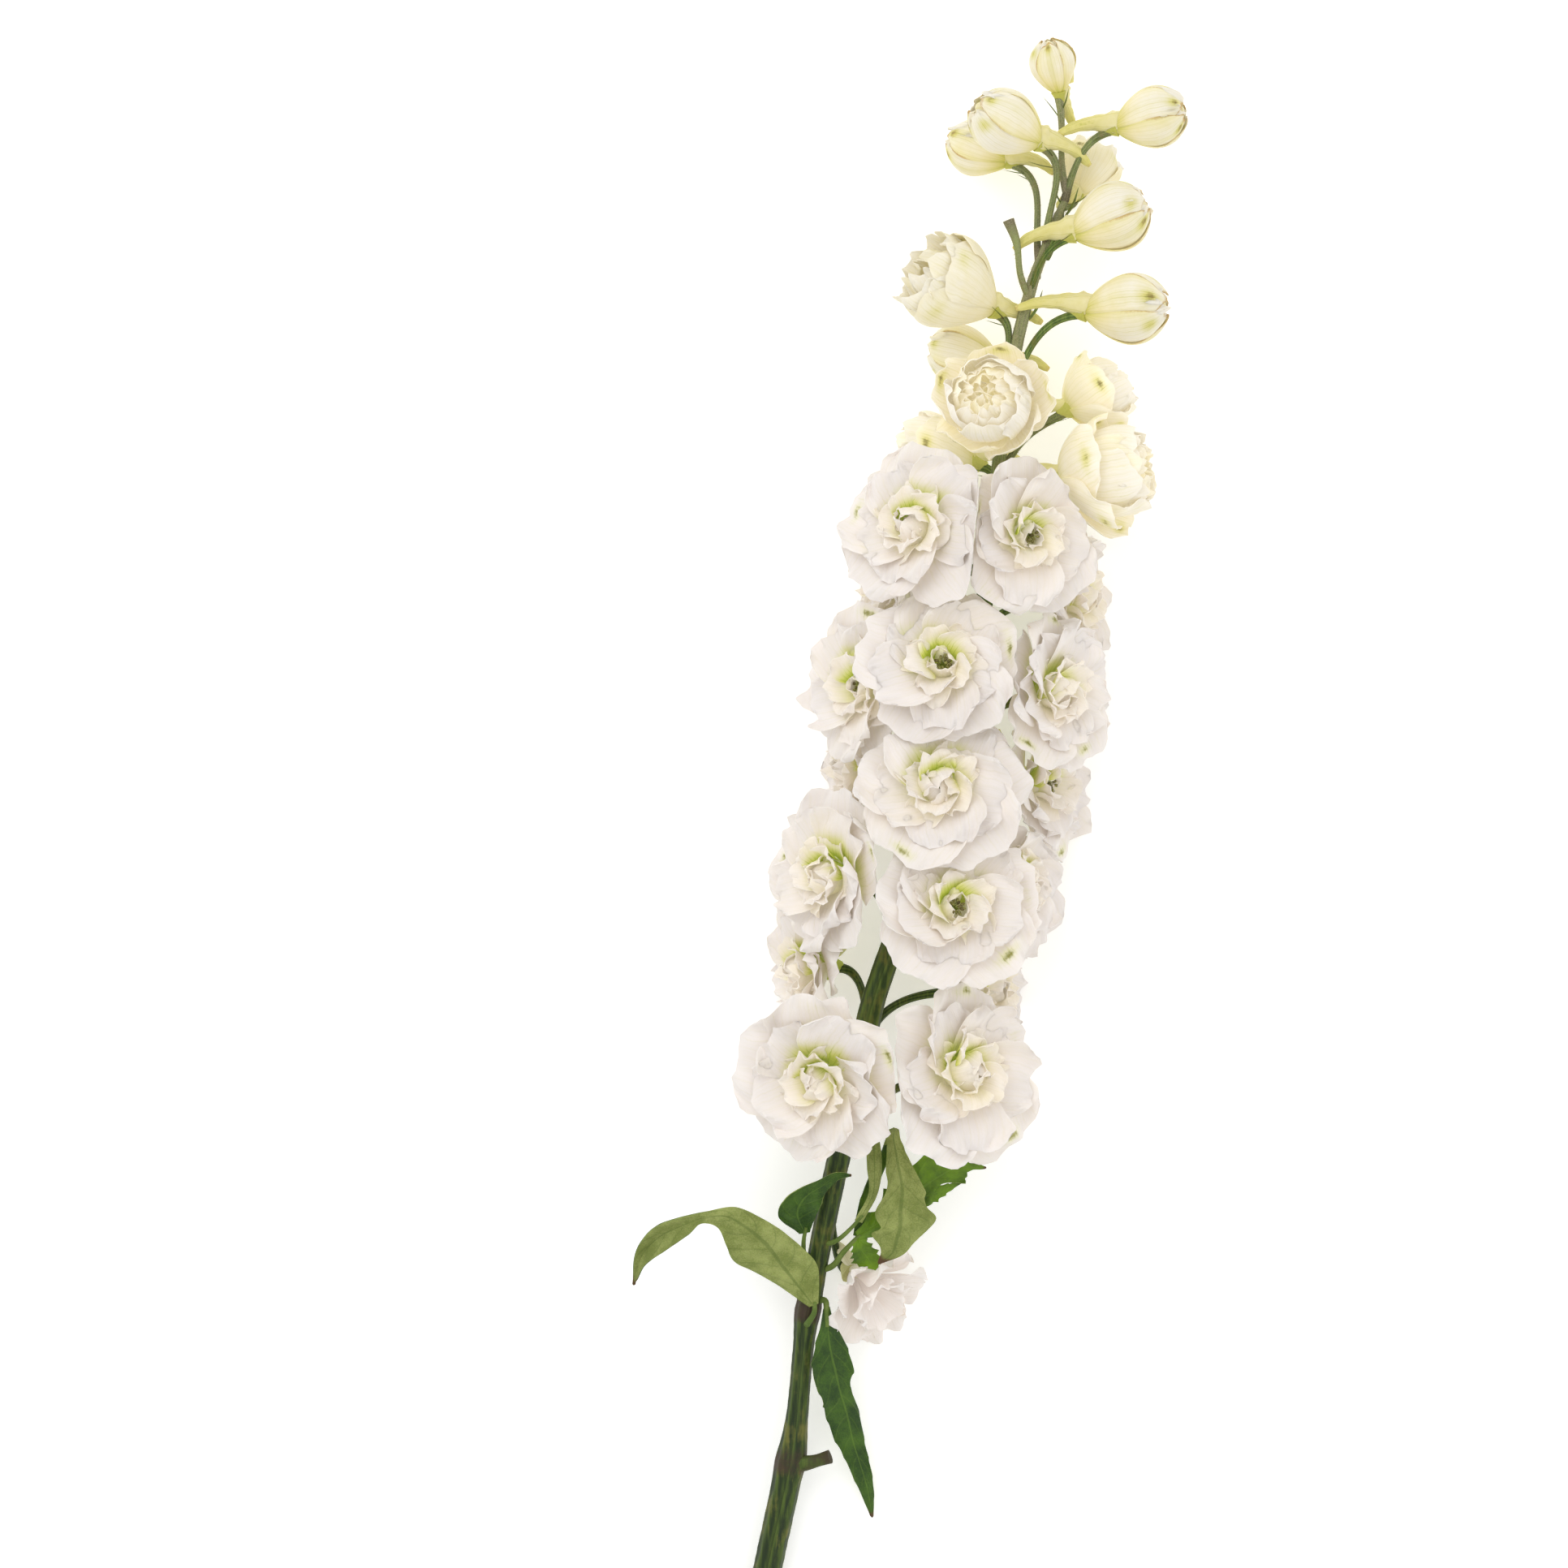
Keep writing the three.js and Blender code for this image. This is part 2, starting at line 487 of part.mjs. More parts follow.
/** Bends a sheet point clear of the surface, the stem and the walls. */
function bendClear(point, walls, half) {
  const clear = half + GAP / 2;
  const bent = point.clone();
  const push = (normal, origin, least, soft) => {
    const distance = normal.dot(bent.clone().sub(origin)) - least;
    const wanted = soft > 0 ? ease(distance, soft) : Math.max(distance, 0);
    bent.addScaledVector(normal, wanted - distance);
  };
  const floor = { normal: vec(0, 0, 1), point: vec(0, 0, 0) };
  for (const soft of [BEND_SOFT, 0, 0, 0, 0, 0]) {
    const stem = stemAt(bent.y);
    const out = bent.clone().sub(stem.centre).setY(0).normalize();
    push(out, stem.centre, stem.radius + GAP + clear, 0);
    walls.forEach((wall) => push(wall.normal, wall.point, clear, soft));
    push(floor.normal, floor.point, 0, Math.min(soft, FLOOR_SOFT));
  }
  return bent;
}

// ---- Petals and blooms ----

/** The half width of a petal at share a of its length: a narrow foot, widest past its middle, round tip. */
function petalWidth(a) {
  const widest = 0.58;
  if (a > widest) {
    return (1 - ((a - widest) / (1 - widest)) ** 2.3) ** (1 / 2.3);
  }
  return Math.sin((Math.PI / 2) * (a / widest)) ** 0.85;
}

/** One petal's sheet point: share a of its length, and b from -1 at its left rim to 1 at its right. */
function petalPoint(bloom, layer, petal, a, b) {
  const { size, seed } = bloom;
  const differ = (place, most) => jitter(seed, (petal + 1) * place, most * layer.loose);
  const long = layer.long * size * (1 + differ(1.7, 0.08));
  const wide = layer.wide * size * (1 + differ(2.3, 0.07));
  const first = radians(layer.rise[0] + differ(3.1, 5));
  const last = radians(layer.rise[1] + differ(4.1, 8));
  const around = (2 * Math.PI * (petal + layer.turn)) / layer.count + radians(90 + differ(5.3, 5));

  const climb = first + (last - first) * a;
  const arc = long / (last - first);
  const left = 1 - (Math.cos(first) - Math.cos(climb)) / (Math.cos(first) - Math.cos(last));
  const drawn = 1 - (layer.pinch ?? 0) * left ** 2;
  const outward = (layer.ring * size + arc * (Math.sin(climb) - Math.sin(first))) * drawn;
  const forward = layer.lift * size - arc * (Math.cos(climb) - Math.cos(first));

  const round = layer.wrap ? outward : layer.cup * size;
  const most = layer.wrap ? layer.wrap * outward : Infinity;
  const sideways = Math.min(0.5 * wide * petalWidth(a), most) * b;
  const ripple = Math.sin(2 * Math.PI * (1.4 * b + 1.1 * a + chance(seed, (petal + 1) * 5.9)));
  const raised = round * (1 - Math.cos(sideways / round)) + layer.lean * sideways
    + layer.wave * size * ripple * a * a * Math.abs(b);
  const x = round * Math.sin(sideways / round);

  const r = outward - raised * Math.sin(climb);
  const z = forward + raised * Math.cos(climb);
  return bloom.base.clone()
    .addScaledVector(bloom.across, r * Math.cos(around) - x * Math.sin(around))
    .addScaledVector(bloom.up, r * Math.sin(around) + x * Math.cos(around))
    .addScaledVector(bloom.facing, z);
}

/**
 * The spur: the back of the uppermost sepal drawn out into a tapered horn. It starts from a loop of four
 * points on the back of the bloom, and bends back over the stalk.
 */
function spur(points, triangles, loop, bloom, walls) {
  const { path } = STAGES[bloom.stage].spur;
  const long = STAGES[bloom.stage].spur.long * bloom.size;
  const start = loop.reduce((sum, k) => sum.add(points[k]), vec(0, 0, 0)).multiplyScalar(1 / loop.length);
  const centres = path.map(([back, up]) => bendClear(
    start.clone().addScaledVector(bloom.facing, -back * long).addScaledVector(bloom.up, up * long),
    walls,
    SPUR_THICK,
  ));
  let last = loop;
  centres.forEach((centre, ring) => {
    const before = centres[ring - 1] ?? start;
    const after = centres[ring + 1] ?? centre;
    const high = bloom.across.clone().cross(after.clone().sub(before)).normalize();
    const thick = SPUR_THICK * path[ring][2];
    const first = points.length;
    points.push(
      centre.clone().addScaledVector(high, -thick),
      centre.clone().addScaledVector(bloom.across, -thick),
      centre.clone().addScaledVector(high, thick),
      centre.clone().addScaledVector(bloom.across, thick),
    );
    const now = [first, first + 1, first + 2, first + 3];
    for (let side = 0; side < 4; side += 1) {
      const next = (side + 1) % 4;
      triangles.push([last[side], last[next], now[next]], [last[side], now[next], now[side]]);
    }
    last = now;
  });
  triangles.push([last[0], last[1], last[2]], [last[0], last[2], last[3]]);
}

/** One layer of petals as a star-shaped solid: blades round a thick middle, parted beyond their notches. */
function petalLayer(bloom, layer, walls) {
  const outermost = layer === STAGES[bloom.stage].layers[0];
  const under = outermost ? STAGES[bloom.stage].under * bloom.size : 0;
  const clear = (index, a, b) => {
    return bendClear(petalPoint(bloom, layer, index, a, b), walls, PETAL_THICK / 2);
  };
  const middle = bloom.base.clone().addScaledVector(bloom.facing, layer.lift * bloom.size);
  const points = [
    middle.clone().addScaledVector(bloom.facing, MIDDLE_THICK / 2),
    middle.clone().addScaledVector(bloom.facing, -MIDDLE_THICK / 2 - under),
  ];
  const triangles = [];
  const notches = [];
  for (let index = 0; index < layer.count; index += 1) {
    const next = (index + 1) % layer.count;
    notches.push(points.length);
    points.push(clear(index, NOTCH, 1).lerp(clear(next, NOTCH, -1), 0.5));
  }
  for (let index = 0; index < layer.count; index += 1) {
    const left = notches[(index + layer.count - 1) % layer.count];
    const right = notches[index];
    const root = clear(index, NOTCH, 0);
    const up = points.length;
    const down = up + 1;
    const along = root.clone().sub(middle);
    const across = points[right].clone().sub(points[left]);
    points.push(...faces(root, along, across, 0.5 * MIDDLE_THICK));
    triangles.push([0, up, right], [0, left, up]);
    if (outermost && index === 0) {
      spur(points, triangles, [1, right, down, left], bloom, walls);
    } else {
      triangles.push([1, right, down], [1, down, left]);
    }
    const rows = layer.rows.map((a) => [-1, 0, 1].map((b) => clear(index, a, b)));
    blade(points, triangles, { left, up, down, right }, rows, root, PETAL_THICK);
  }
  return solid(points, triangles);
}

/** The closed inner petals that show in the mouth of a bud. */
function egg(bloom) {
  const { radius, height } = STAGES[bloom.stage].egg;
  const sides = 5;
  const profile = [[0.3, 0.06], [1, 0.45], [0.6, 0.84]];
  const rings = profile.map(([out, up]) => {
    return Array.from({ length: sides }, (_, side) => {
      const angle = (2 * Math.PI * side) / sides;
      return bloom.base.clone()
        .addScaledVector(bloom.across, out * radius * bloom.size * Math.cos(angle))
        .addScaledVector(bloom.up, out * radius * bloom.size * Math.sin(angle))
        .addScaledVector(bloom.facing, up * height * bloom.size);
    });
  });
  const top = bloom.base.clone().addScaledVector(bloom.facing, height * bloom.size);
  return loft(rings, bloom.base, top);
}

/** A whole bloom, cut clear of the stem and stalks. */
function bloomSolid(bloom, stalks) {
  const walls = wallsOf(bloom);
  const parts = STAGES[bloom.stage].layers.map((layer) => petalLayer(bloom, layer, walls));
  if (STAGES[bloom.stage].egg) {
    parts.push(egg(bloom));
  }
  return largest(join(parts).subtract(stalks).trimByPlane([0, 0, 1], 0));
}

/** The tuft of stamens in the throat of an open bloom: a dome drawn out into four blunt points. */
function stamens(bloom) {
  const sides = 8;
  const heart = STAGES.open.layers[2];
  const floor = heart.lift * bloom.size + 0.5 * MIDDLE_THICK + 0.9;
  const profile = [[1.4, 0], [1.7, 4.6]];
  const rings = profile.map(([out, up]) => {
    return Array.from({ length: sides }, (_, side) => {
      const angle = (2 * Math.PI * side) / sides;
      const point = side % 2 === 0 ? 1 : 0.68;
      return bloom.base.clone()
        .addScaledVector(bloom.across, out * point * Math.cos(angle))
        .addScaledVector(bloom.up, out * point * Math.sin(angle))
        .addScaledVector(bloom.facing, floor + up * (side % 2 === 0 ? 1 : 0.85));
    });
  });
  const under = bloom.base.clone().addScaledVector(bloom.facing, floor - 0.2);
  const top = bloom.base.clone().addScaledVector(bloom.facing, floor + 3.4);
  return loft(rings, under, top);
}

// ---- Leaves ----

/** One blade of a leaf, closed with a flat square foot inside the leaf's stalk. */
function leafBlade([foot, ...rows]) {
  const [left, middle, right] = foot.map((p) => vec(...p));
  const onward = vec(...rows[0][1]).sub(middle);
  const points = [left, ...faces(middle, onward, right.clone().sub(left), LEAF_THICK), right];
  const triangles = [[0, 1, 3], [0, 3, 2]];
  const placedRows = rows.map((row) => row.map((p) => vec(...p)));
  blade(points, triangles, { left: 0, up: 1, down: 2, right: 3 }, placedRows, middle, LEAF_THICK);
  return solid(points, triangles);
}

/** A whole leaf: its stalk and its blades. */
function leafSolid({ stalk, radius, blades }) {
  const path = new THREE.CatmullRomCurve3(stalk.map((p) => vec(...p)));
  const stem = tube(path, 3, STALK_SIDES, (t) => radius * (1.15 - 0.45 * t));
  return join([stem, ...blades.map(leafBlade)]);
}

// ---- Stem and stalks ----

/** The main stem from its cut to its top, grown outward by extra. */
function mainStem(extra) {
  const rings = [];
  const low = STEM[0][0];
  const high = STEM[STEM.length - 1][0];
  const steps = Math.round((high - low) / STEM_STEP);
  for (let step = 0; step <= steps; step += 1) {
    const { centre, radius } = stemAt(low + ((high - low) * step) / steps);
    const ring = [];
    for (let side = 0; side < STEM_SIDES; side += 1) {
      const angle = (2 * Math.PI * (side + 0.5)) / STEM_SIDES;
      const out = radius + extra;
      const slant = step === 0 ? -1.6 * Math.sin(angle) : 0;
      ring.push(vec(centre.x - out * Math.cos(angle), centre.y + slant, centre.z + out * Math.sin(angle)));
    }
    rings.push(ring);
  }
  return loft(rings, stemAt(low).centre, stemAt(high).centre);
}

/** The hollow that shows in the cut end. */
function pith() {
  const low = STEM[0][0];
  const ends = [low - 4, low + PITH_DEPTH].map((y) => vec(stemAt(y).centre.x, y, stemAt(y).centre.z));
  return tube(new THREE.LineCurve3(...ends), 1, 6, () => PITH_RADIUS);
}

/** The path of a bloom's stalk: out of the stem, up along it, and into the back of the bloom. */
function stalkPath(bloom) {
  const foot = stemAt(bloom.foot).centre;
  const under = STAGES[bloom.stage].under * bloom.size;
  const tip = bloom.base.clone().addScaledVector(bloom.facing, -0.7 * under).addScaledVector(bloom.up, -0.8);
  const far = foot.distanceTo(tip);
  const rise = vec(0, 0.4 * far, 0).addScaledVector(tip.clone().sub(foot).setY(0).normalize(), 0.12 * far);
  const into = bloom.facing.clone().multiplyScalar(-0.36 * far);
  return new THREE.CubicBezierCurve3(foot, foot.clone().add(rise), tip.clone().add(into), tip);
}

/** The narrow bract at the foot of a stalk. */
function bract(bloom) {
  const path = stalkPath(bloom);
  const stem = stemAt(bloom.foot);
  const out = path.getPointAt(0.35).sub(stem.centre).setY(0).normalize();
  const at = (outward, up) => stem.centre.clone().addScaledVector(out, stem.radius + outward)
    .add(vec(0, up, 0));
  const curve = new THREE.CatmullRomCurve3([at(-1.5, -6), at(1.4, -2), at(3.6, 4)]);
  return tube(curve, 2, 3, (t) => 1.2 - 0.8 * t);
}

/** The stem with every stalk, bract and stump, grown outward by extra to give its clearance. */
function stemSolid(extra) {
  const parts = [mainStem(extra)];
  blooms.forEach((bloom) => {
    const thick = 0.9 + 0.013 * bloom.size;
    const radius = (t) => extra + thick * (1.25 - 0.35 * Math.sin(Math.PI * t));
    parts.push(tube(stalkPath(bloom), 4, STALK_SIDES, radius));
    if (bloom.stage !== "open") {
      parts.push(bract(bloom));
    }
  });
  const stub = new THREE.CatmullRomCurve3(BARE_STALK.map((p) => vec(...p)));
  parts.push(tube(stub, 4, STALK_SIDES, (t) => extra + 1.1 + 0.9 * t ** 4));
  const stump = new THREE.CatmullRomCurve3(SIDE_STUMP.map((p) => vec(...p)));
  parts.push(tube(stump, 2, 6, (t) => extra + 2.6 - 0.4 * t));
  return join(parts);
}

// ---- The model ----

const finishes = {
  stem: new THREE.MeshStandardMaterial({ color: 0x5d7434, roughness: 0.65, metalness: 0 }),
  leaf: new THREE.MeshStandardMaterial({ color: 0x38602a, roughness: 0.6, metalness: 0 }),
  petal: new THREE.MeshStandardMaterial({ color: 0xf3efe8, roughness: 0.7, metalness: 0 }),
  bud: new THREE.MeshStandardMaterial({ color: 0xe2e0a8, roughness: 0.7, metalness: 0 }),
  stamen: new THREE.MeshStandardMaterial({ color: 0x6f6a35, roughness: 0.8, metalness: 0 }),
};

/** A named mesh from a solid. */
function meshOf(name, body, material) {
  const { vertProperties, triVerts } = body.getMesh();
  const geometry = new THREE.BufferGeometry();
  geometry.setAttribute("position", new THREE.BufferAttribute(vertProperties, 3));
  geometry.setIndex(new THREE.BufferAttribute(triVerts, 1));
  geometry.computeVertexNormals();
  const mesh = new THREE.Mesh(geometry, material.clone());
  mesh.name = name;
  return mesh;
}

const spike = new THREE.Group();
spike.name = "delphinium_spike";

spike.add(meshOf("stem", stemSolid(0).subtract(pith()), finishes.stem));
for (const [name, leaf] of Object.entries(LEAVES)) {
  spike.add(meshOf(`leaf_${name}`, leafSolid(leaf), finishes.leaf));
}

const stalks = stemSolid(GAP);
for (const bloom of blooms) {
  const finish = bloom.stage === "bud" || bloom.stage === "opening" ? finishes.bud : finishes.petal;
  spike.add(meshOf(bloom.name, bloomSolid(bloom, stalks), finish));
  if (bloom.stage === "open") {
    spike.add(meshOf(bloom.name.replace("floret", "stamens"), stamens(bloom), finishes.stamen));
  }
}

export default spike;
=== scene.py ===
# %% [markdown]
# # A cut spike of white double delphinium
#
# The spike lies on its side, the way a florist lays it on the bench. One green stem carries closed buds at
# its tip, half-open blooms below them and wide double florets at the bottom, with five leaves further down.
# The plain solids of the spike come in first as a fixed frame. Each solid is then dressed with a finer
# piece that keeps its place and its form.

# %% The frame
import math

import bpy
import numpy as np
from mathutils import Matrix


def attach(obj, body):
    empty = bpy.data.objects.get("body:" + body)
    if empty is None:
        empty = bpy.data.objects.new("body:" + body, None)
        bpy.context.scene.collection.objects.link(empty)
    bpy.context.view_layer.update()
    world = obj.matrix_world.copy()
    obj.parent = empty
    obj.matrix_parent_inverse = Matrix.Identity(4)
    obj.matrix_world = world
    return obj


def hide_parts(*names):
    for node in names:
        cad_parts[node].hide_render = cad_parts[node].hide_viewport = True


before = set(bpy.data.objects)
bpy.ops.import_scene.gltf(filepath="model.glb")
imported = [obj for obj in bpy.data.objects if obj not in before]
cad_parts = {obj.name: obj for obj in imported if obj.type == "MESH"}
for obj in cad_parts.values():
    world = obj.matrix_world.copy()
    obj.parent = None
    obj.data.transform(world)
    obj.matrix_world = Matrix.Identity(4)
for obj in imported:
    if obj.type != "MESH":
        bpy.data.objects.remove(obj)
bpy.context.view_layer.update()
print("solids in the frame:", len(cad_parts))

# %% [markdown]
# ## Where everything grows
#
# A plant has no drawing, but it has a plan. The stem has a centre line, and every bloom has a place, a
# direction that it faces, a size and a stage. The same few numbers shape the solids of the frame, so a
# petal worked out from them again, only finer, falls where its solid is. Lengths are in millimetres.

# %% Stem and blooms in numbers
STEM = np.array([  # height, across, above the bench, radius
    [-270, -56, 4.62, 5], [-256, -53, 4.7, 5], [-219, -45, 8, 4.9], [-196, -40, 10.5, 4.9],
    [-186, -38, 11.5, 5], [-172, -36, 13, 3.7], [-150, -34, 15.8, 3.5], [-138, -32.6, 17.5, 4.1],
    [-122, -29.6, 19.7, 3.7], [-94, -24, 23.5, 3.9], [-55, -15, 28.5, 4.1], [-39, -12, 30, 4.1],
    [2, 2, 33, 3.9], [49, 15, 34, 3.5], [91, 24, 34, 2.9], [138, 29, 33, 2.3],
    [169, 33.5, 32, 2.2], [193, 39.5, 31, 2], [205, 44, 31, 1.7], [221, 50.5, 31, 1.3],
])
BARE_STALK = np.array([[38.5, 187, 31], [35.5, 195, 34], [34, 206, 36], [31.5, 212.5, 37]])
SIDE_STUMP = np.array([[-38, -188, 12], [-31, -187, 14], [-25.4, -185.4, 15.5]])

BLOOM_TABLE = [  # name, stage, middle, turn and lift of its face, size, foot of its stalk, seed
    ("bud_tip", "bud", (46, 262, 34), (130, 70), 18, 221, 1),
    ("bud_upper_left", "bud", (31, 243, 41), (160, 28), 26, 205, 2),
    ("bud_behind_left", "bud", (23, 237, 15), (196, 22), 22, 199, 3),
    ("bud_upper_right", "bud", (77, 245, 38), (12, 14), 24, 219, 44),
    ("bud_papery", "opening", (57, 229, 14), (300, 48), 20, 213, 525),
    ("bud_mid_right", "bud", (64, 213, 37), (8, 22), 27, 186, 6),
    ("bud_big_left", "opening", (15, 191, 38), (158, 28), 30, 164, 7),
    ("bud_low_right", "bud", (69, 184, 40), (14, 4), 28, 150, 8),
    ("bud_low_left", "bud", (18, 170, 18), (200, 14), 24, 146, 9),
    ("half_front", "half", (26, 153, 53), (104, 12), 38, 128, 291),
    ("half_right", "half", (60, 157, 25), (352, 26), 29, 126, 12),
    ("half_right_low", "half", (62, 131, 41), (14, 8), 40, 104, 13),
    ("half_back", "half", (10, 138, 14.5), (196, 12), 34, 112, 334),
    ("floret_01", "open", (1, 114, 57), (116, 14), 52, 92, 21),
    ("floret_02", "open", (37, 111, 56), (62, 2), 49, 86, 22),
    ("floret_03", "open", (53, 92, 22), (24, 2), 48, 72, 23),
    ("floret_04", "open", (-6, 97, 22), (164, 4), 46, 76, 104),
    ("floret_05", "open", (10, 70, 62), (96, 12), 52, 48, 65),
    ("floret_06", "open", (46, 61, 46), (42, 4), 50, 38, 26),
    ("floret_07", "open", (-15, 63, 44), (140, 4), 48, 42, 27),
    ("floret_08", "open", (9, 31, 62), (90, 12), 54, 10, 28),
    ("floret_09", "open", (44, 32, 22), (26, 2), 48, 14, 29),
    ("floret_10", "open", (-17, 38, 20), (164, 2), 46, 16, 30),
    ("floret_11", "open", (14, -7, 60), (78, 10), 52, -28, 31),
    ("floret_12", "open", (35, 0, 39), (34, 4), 48, -20, 32),
    ("floret_13", "open", (-26, 3, 43), (144, 4), 50, -18, 33),
    ("floret_14", "open", (-33, -27, 20), (160, -2), 46, -44, 34),
    ("floret_15", "open", (24, -34, 22), (26, 2), 48, -52, 35),
    ("floret_16", "open", (-29, -62, 54), (116, -16), 54, -84, 36),
    ("floret_17", "open", (17, -60, 50), (54, 2), 54, -88, 37),
    ("floret_faded", "faded", (-13, -132, 12), (45, -35), 34, -100, 38),
]
print("blooms:", len(BLOOM_TABLE))


# %% [markdown]
# ## Petals in numbers
#
# Every stage of a bloom is a few layers of petals, from the outside in. A bud's layer closes over its own
# axis, and an open floret's layers lie back. A layer says how its petals rise from foot to tip, how wide
# and long they are, and how much they ruffle. Small petals between the layers of the frame fill the heart
# of a real double flower, so every stage but the faded one has one to three layers more here.

# %% Layers of each stage
SPUR_BACK = [(0.36, 0.08), (0.7, 0.1), (1, 0.02)]  # backwards and upwards, in shares of the spur's length
SPUR_UP = [(0.34, 0.2), (0.5, 0.55), (0.58, 0.95)]


def layer(count, long, wide, rise, ring, lift, turn, loose, lean, wave, cup=None, wrap=None, pinch=0.0,
          frill=0.0, notch=0.0, twist=0.0, mesh=(24, 17)):
    """One layer of petals. Lengths are shares of the bloom's size. rise is a petal's angle at its foot and at
    its tip, in degrees. ring and lift say where its foot stands, turn how far the layer is set round, and
    loose how much its petals differ. A petal bends across its width on a circle of radius cup, or wraps
    round the axis by at most the angle wrap on each side. lean lays one edge over the next petal, pinch
    draws the foot in, and wave, frill and notch shape the rim. mesh is its grid, along and across."""
    return dict(count=count, long=long, wide=wide, rise=rise, ring=ring, lift=lift, turn=turn, loose=loose,
                lean=lean, wave=wave, cup=cup, wrap=wrap, pinch=pinch, frill=frill, notch=notch, twist=twist,
                mesh=mesh)


STAGES = {
    "bud": dict(back=0.5, under=0.1, spur=(0.72, SPUR_BACK), layers=[
        layer(5, 1.34, 1.2, (10, 160), 0.02, 0, 0, 0.2, 0.07, 0.0, wrap=0.84, pinch=0.42, frill=0.012,
              notch=0.04),
        layer(5, 1.24, 0.6, (16, 156), 0.02, 0.02, 0.5, 0.6, 0.14, 0.02, wrap=0.74, pinch=0.42, frill=0.03,
              notch=0.06, mesh=(20, 13)),
    ]),
    "opening": dict(back=0.5, under=0.1, spur=(0.6, SPUR_BACK), layers=[
        layer(5, 1.16, 1.5, (8, 122), 0.02, 0, 0, 0.3, 0.08, 0.02, wrap=0.9, pinch=0.5, frill=0.016,
              notch=0.05),
        layer(6, 1.12, 1.04, (27, 114), 0.02, 0.06, 0.5, 0.6, 0.12, 0.04, wrap=0.86, pinch=0.3, frill=0.04,
              notch=0.1),
        layer(5, 1.1, 0.8, (32, 138), 0.02, 0.06, 0.1, 1.0, 0.16, 0.04, wrap=0.86, frill=0.05, notch=0.1,
              mesh=(18, 13)),
    ]),
    "half": dict(back=0.36, under=0.08, spur=(0.45, SPUR_BACK), layers=[
        layer(5, 0.74, 0.66, (8, 82), 0.02, 0, 0, 0.7, 0.16, 0.03, cup=0.46, pinch=0.2, frill=0.02,
              notch=0.05),
        layer(5, 0.84, 0.8, (14, 124), 0.02, 0.05, 0.5, 0.3, 0.13, 0.03, wrap=0.86, frill=0.02, notch=0.06),
        layer(5, 0.84, 0.7, (17, 134), 0.02, 0.05, 0.1, 0.7, 0.15, 0.02, wrap=0.84, frill=0.025, notch=0.07,
              mesh=(20, 15)),
        layer(5, 0.82, 0.62, (22, 138), 0.02, 0.05, 0.7, 0.7, 0.15, 0.02, wrap=0.84, frill=0.03, notch=0.08,
              mesh=(20, 15)),
        layer(5, 0.78, 0.56, (30, 138), 0.02, 0.08, 0.2, 0.3, 0.15, 0.03, wrap=0.84, frill=0.03, notch=0.06,
              mesh=(18, 13)),
        layer(4, 0.68, 0.44, (44, 134), 0.02, 0.1, 0.6, 0.7, 0.16, 0.03, wrap=0.9, frill=0.04, notch=0.06,
              mesh=(16, 11)),
    ]),
    "open": dict(back=0.17, under=0.07, spur=(0.32, SPUR_UP), layers=[
        layer(5, 0.57, 0.6, (40, -8), 0.02, 0, 0, 1.2, 0.18, 0.05, cup=1.1, frill=0.02, notch=0.06),
        layer(5, 0.46, 0.47, (50, 2), 0.03, 0.04, 0.5, 2.0, 0.18, 0.055, cup=0.45, frill=0.022, notch=0.08,
              mesh=(22, 15)),
        layer(5, 0.28, 0.27, (82, 30), 0.07, 0.08, 0.2, 1.6, 0.22, 0.03, cup=0.14, frill=0.022, notch=0.08,
              mesh=(18, 13)),
        layer(4, 0.25, 0.26, (78, -20), 0.085, 0.07, 0.7, 1.5, 0.22, 0.02, cup=0.16, frill=0.018, notch=0.06,
              twist=0.4, mesh=(16, 11)),
        layer(3, 0.18, 0.21, (86, 116), 0.08, 0.08, 0.1, 2.0, 0.25, 0.02, cup=0.09, frill=0.02, notch=0.07,
              twist=0.8, mesh=(14, 11)),
    ]),
    "faded": dict(back=0.3, under=0.08, spur=(0.45, SPUR_BACK), layers=[
        layer(5, 0.74, 0.6, (56, 20), 0.02, 0, 0, 0.4, 0.18, 0.04, wrap=0.9, frill=0.04, notch=0.08),
        layer(5, 0.6, 0.42, (72, 50), 0.02, 0.06, 0.5, 0.2, 0.2, 0.02, wrap=0.8, frill=0.04, notch=0.08),
    ]),
}
# The innermost petals of most open florets fold over the eye. These are the seeds of those where it shows.
FOLDED = layer(4, 0.29, 0.27, (68, 148), 0.08, 0.08, 0.4, 1.4, 0.25, 0.02, cup=0.14, frill=0.02, notch=0.06,
               twist=0.5, mesh=(16, 11))
EYE_SHOWS = {22, 65, 31, 27, 29}


def layers_of(bloom):
    """All layers of petals of one bloom, from the outside in."""
    folded = bloom["stage"] == "open" and bloom["seed"] not in EYE_SHOWS
    return STAGES[bloom["stage"]]["layers"] + [FOLDED] * folded


print("layers:", {name: len(stage["layers"]) for name, stage in STAGES.items()})

# %% [markdown]
# ## Making a mesh from arrays
#
# A petal, a leaf and a stem are all grids of points bent in space. So the whole spike needs only two
# builders: a thin sheet that gets two faces and a rim, and a tube of rings. Both work on whole arrays. A
# `Skin` gathers what they return, with four colour shares and three measures for each point, and turns it
# into one Blender object with its place in its mesh.

# %% Small mathematics
def unit(vectors):
    """Each vector divided by its own length."""
    return vectors / np.maximum(np.linalg.norm(vectors, axis=-1, keepdims=True), 1e-12)


def smooth(start, end, value):
    """0 before start and 1 after end, with 3t^2 - 2t^3 between them. It runs down if end is below start."""
    t = np.clip((np.asarray(value, float) - start) / (end - start), 0, 1)
    return t * t * (3 - 2 * t)


def chance(seed, place):
    """A fixed number from 0 to 1: the fraction of a large sine of the seed and the place."""
    wild = np.sin(seed * 12.9898 + place * 78.233) * 43758.5453
    return wild - np.floor(wild)


def jitter(seed, place, size):
    """A fixed number from -size to +size."""
    return (2 * chance(seed, place) - 1) * size


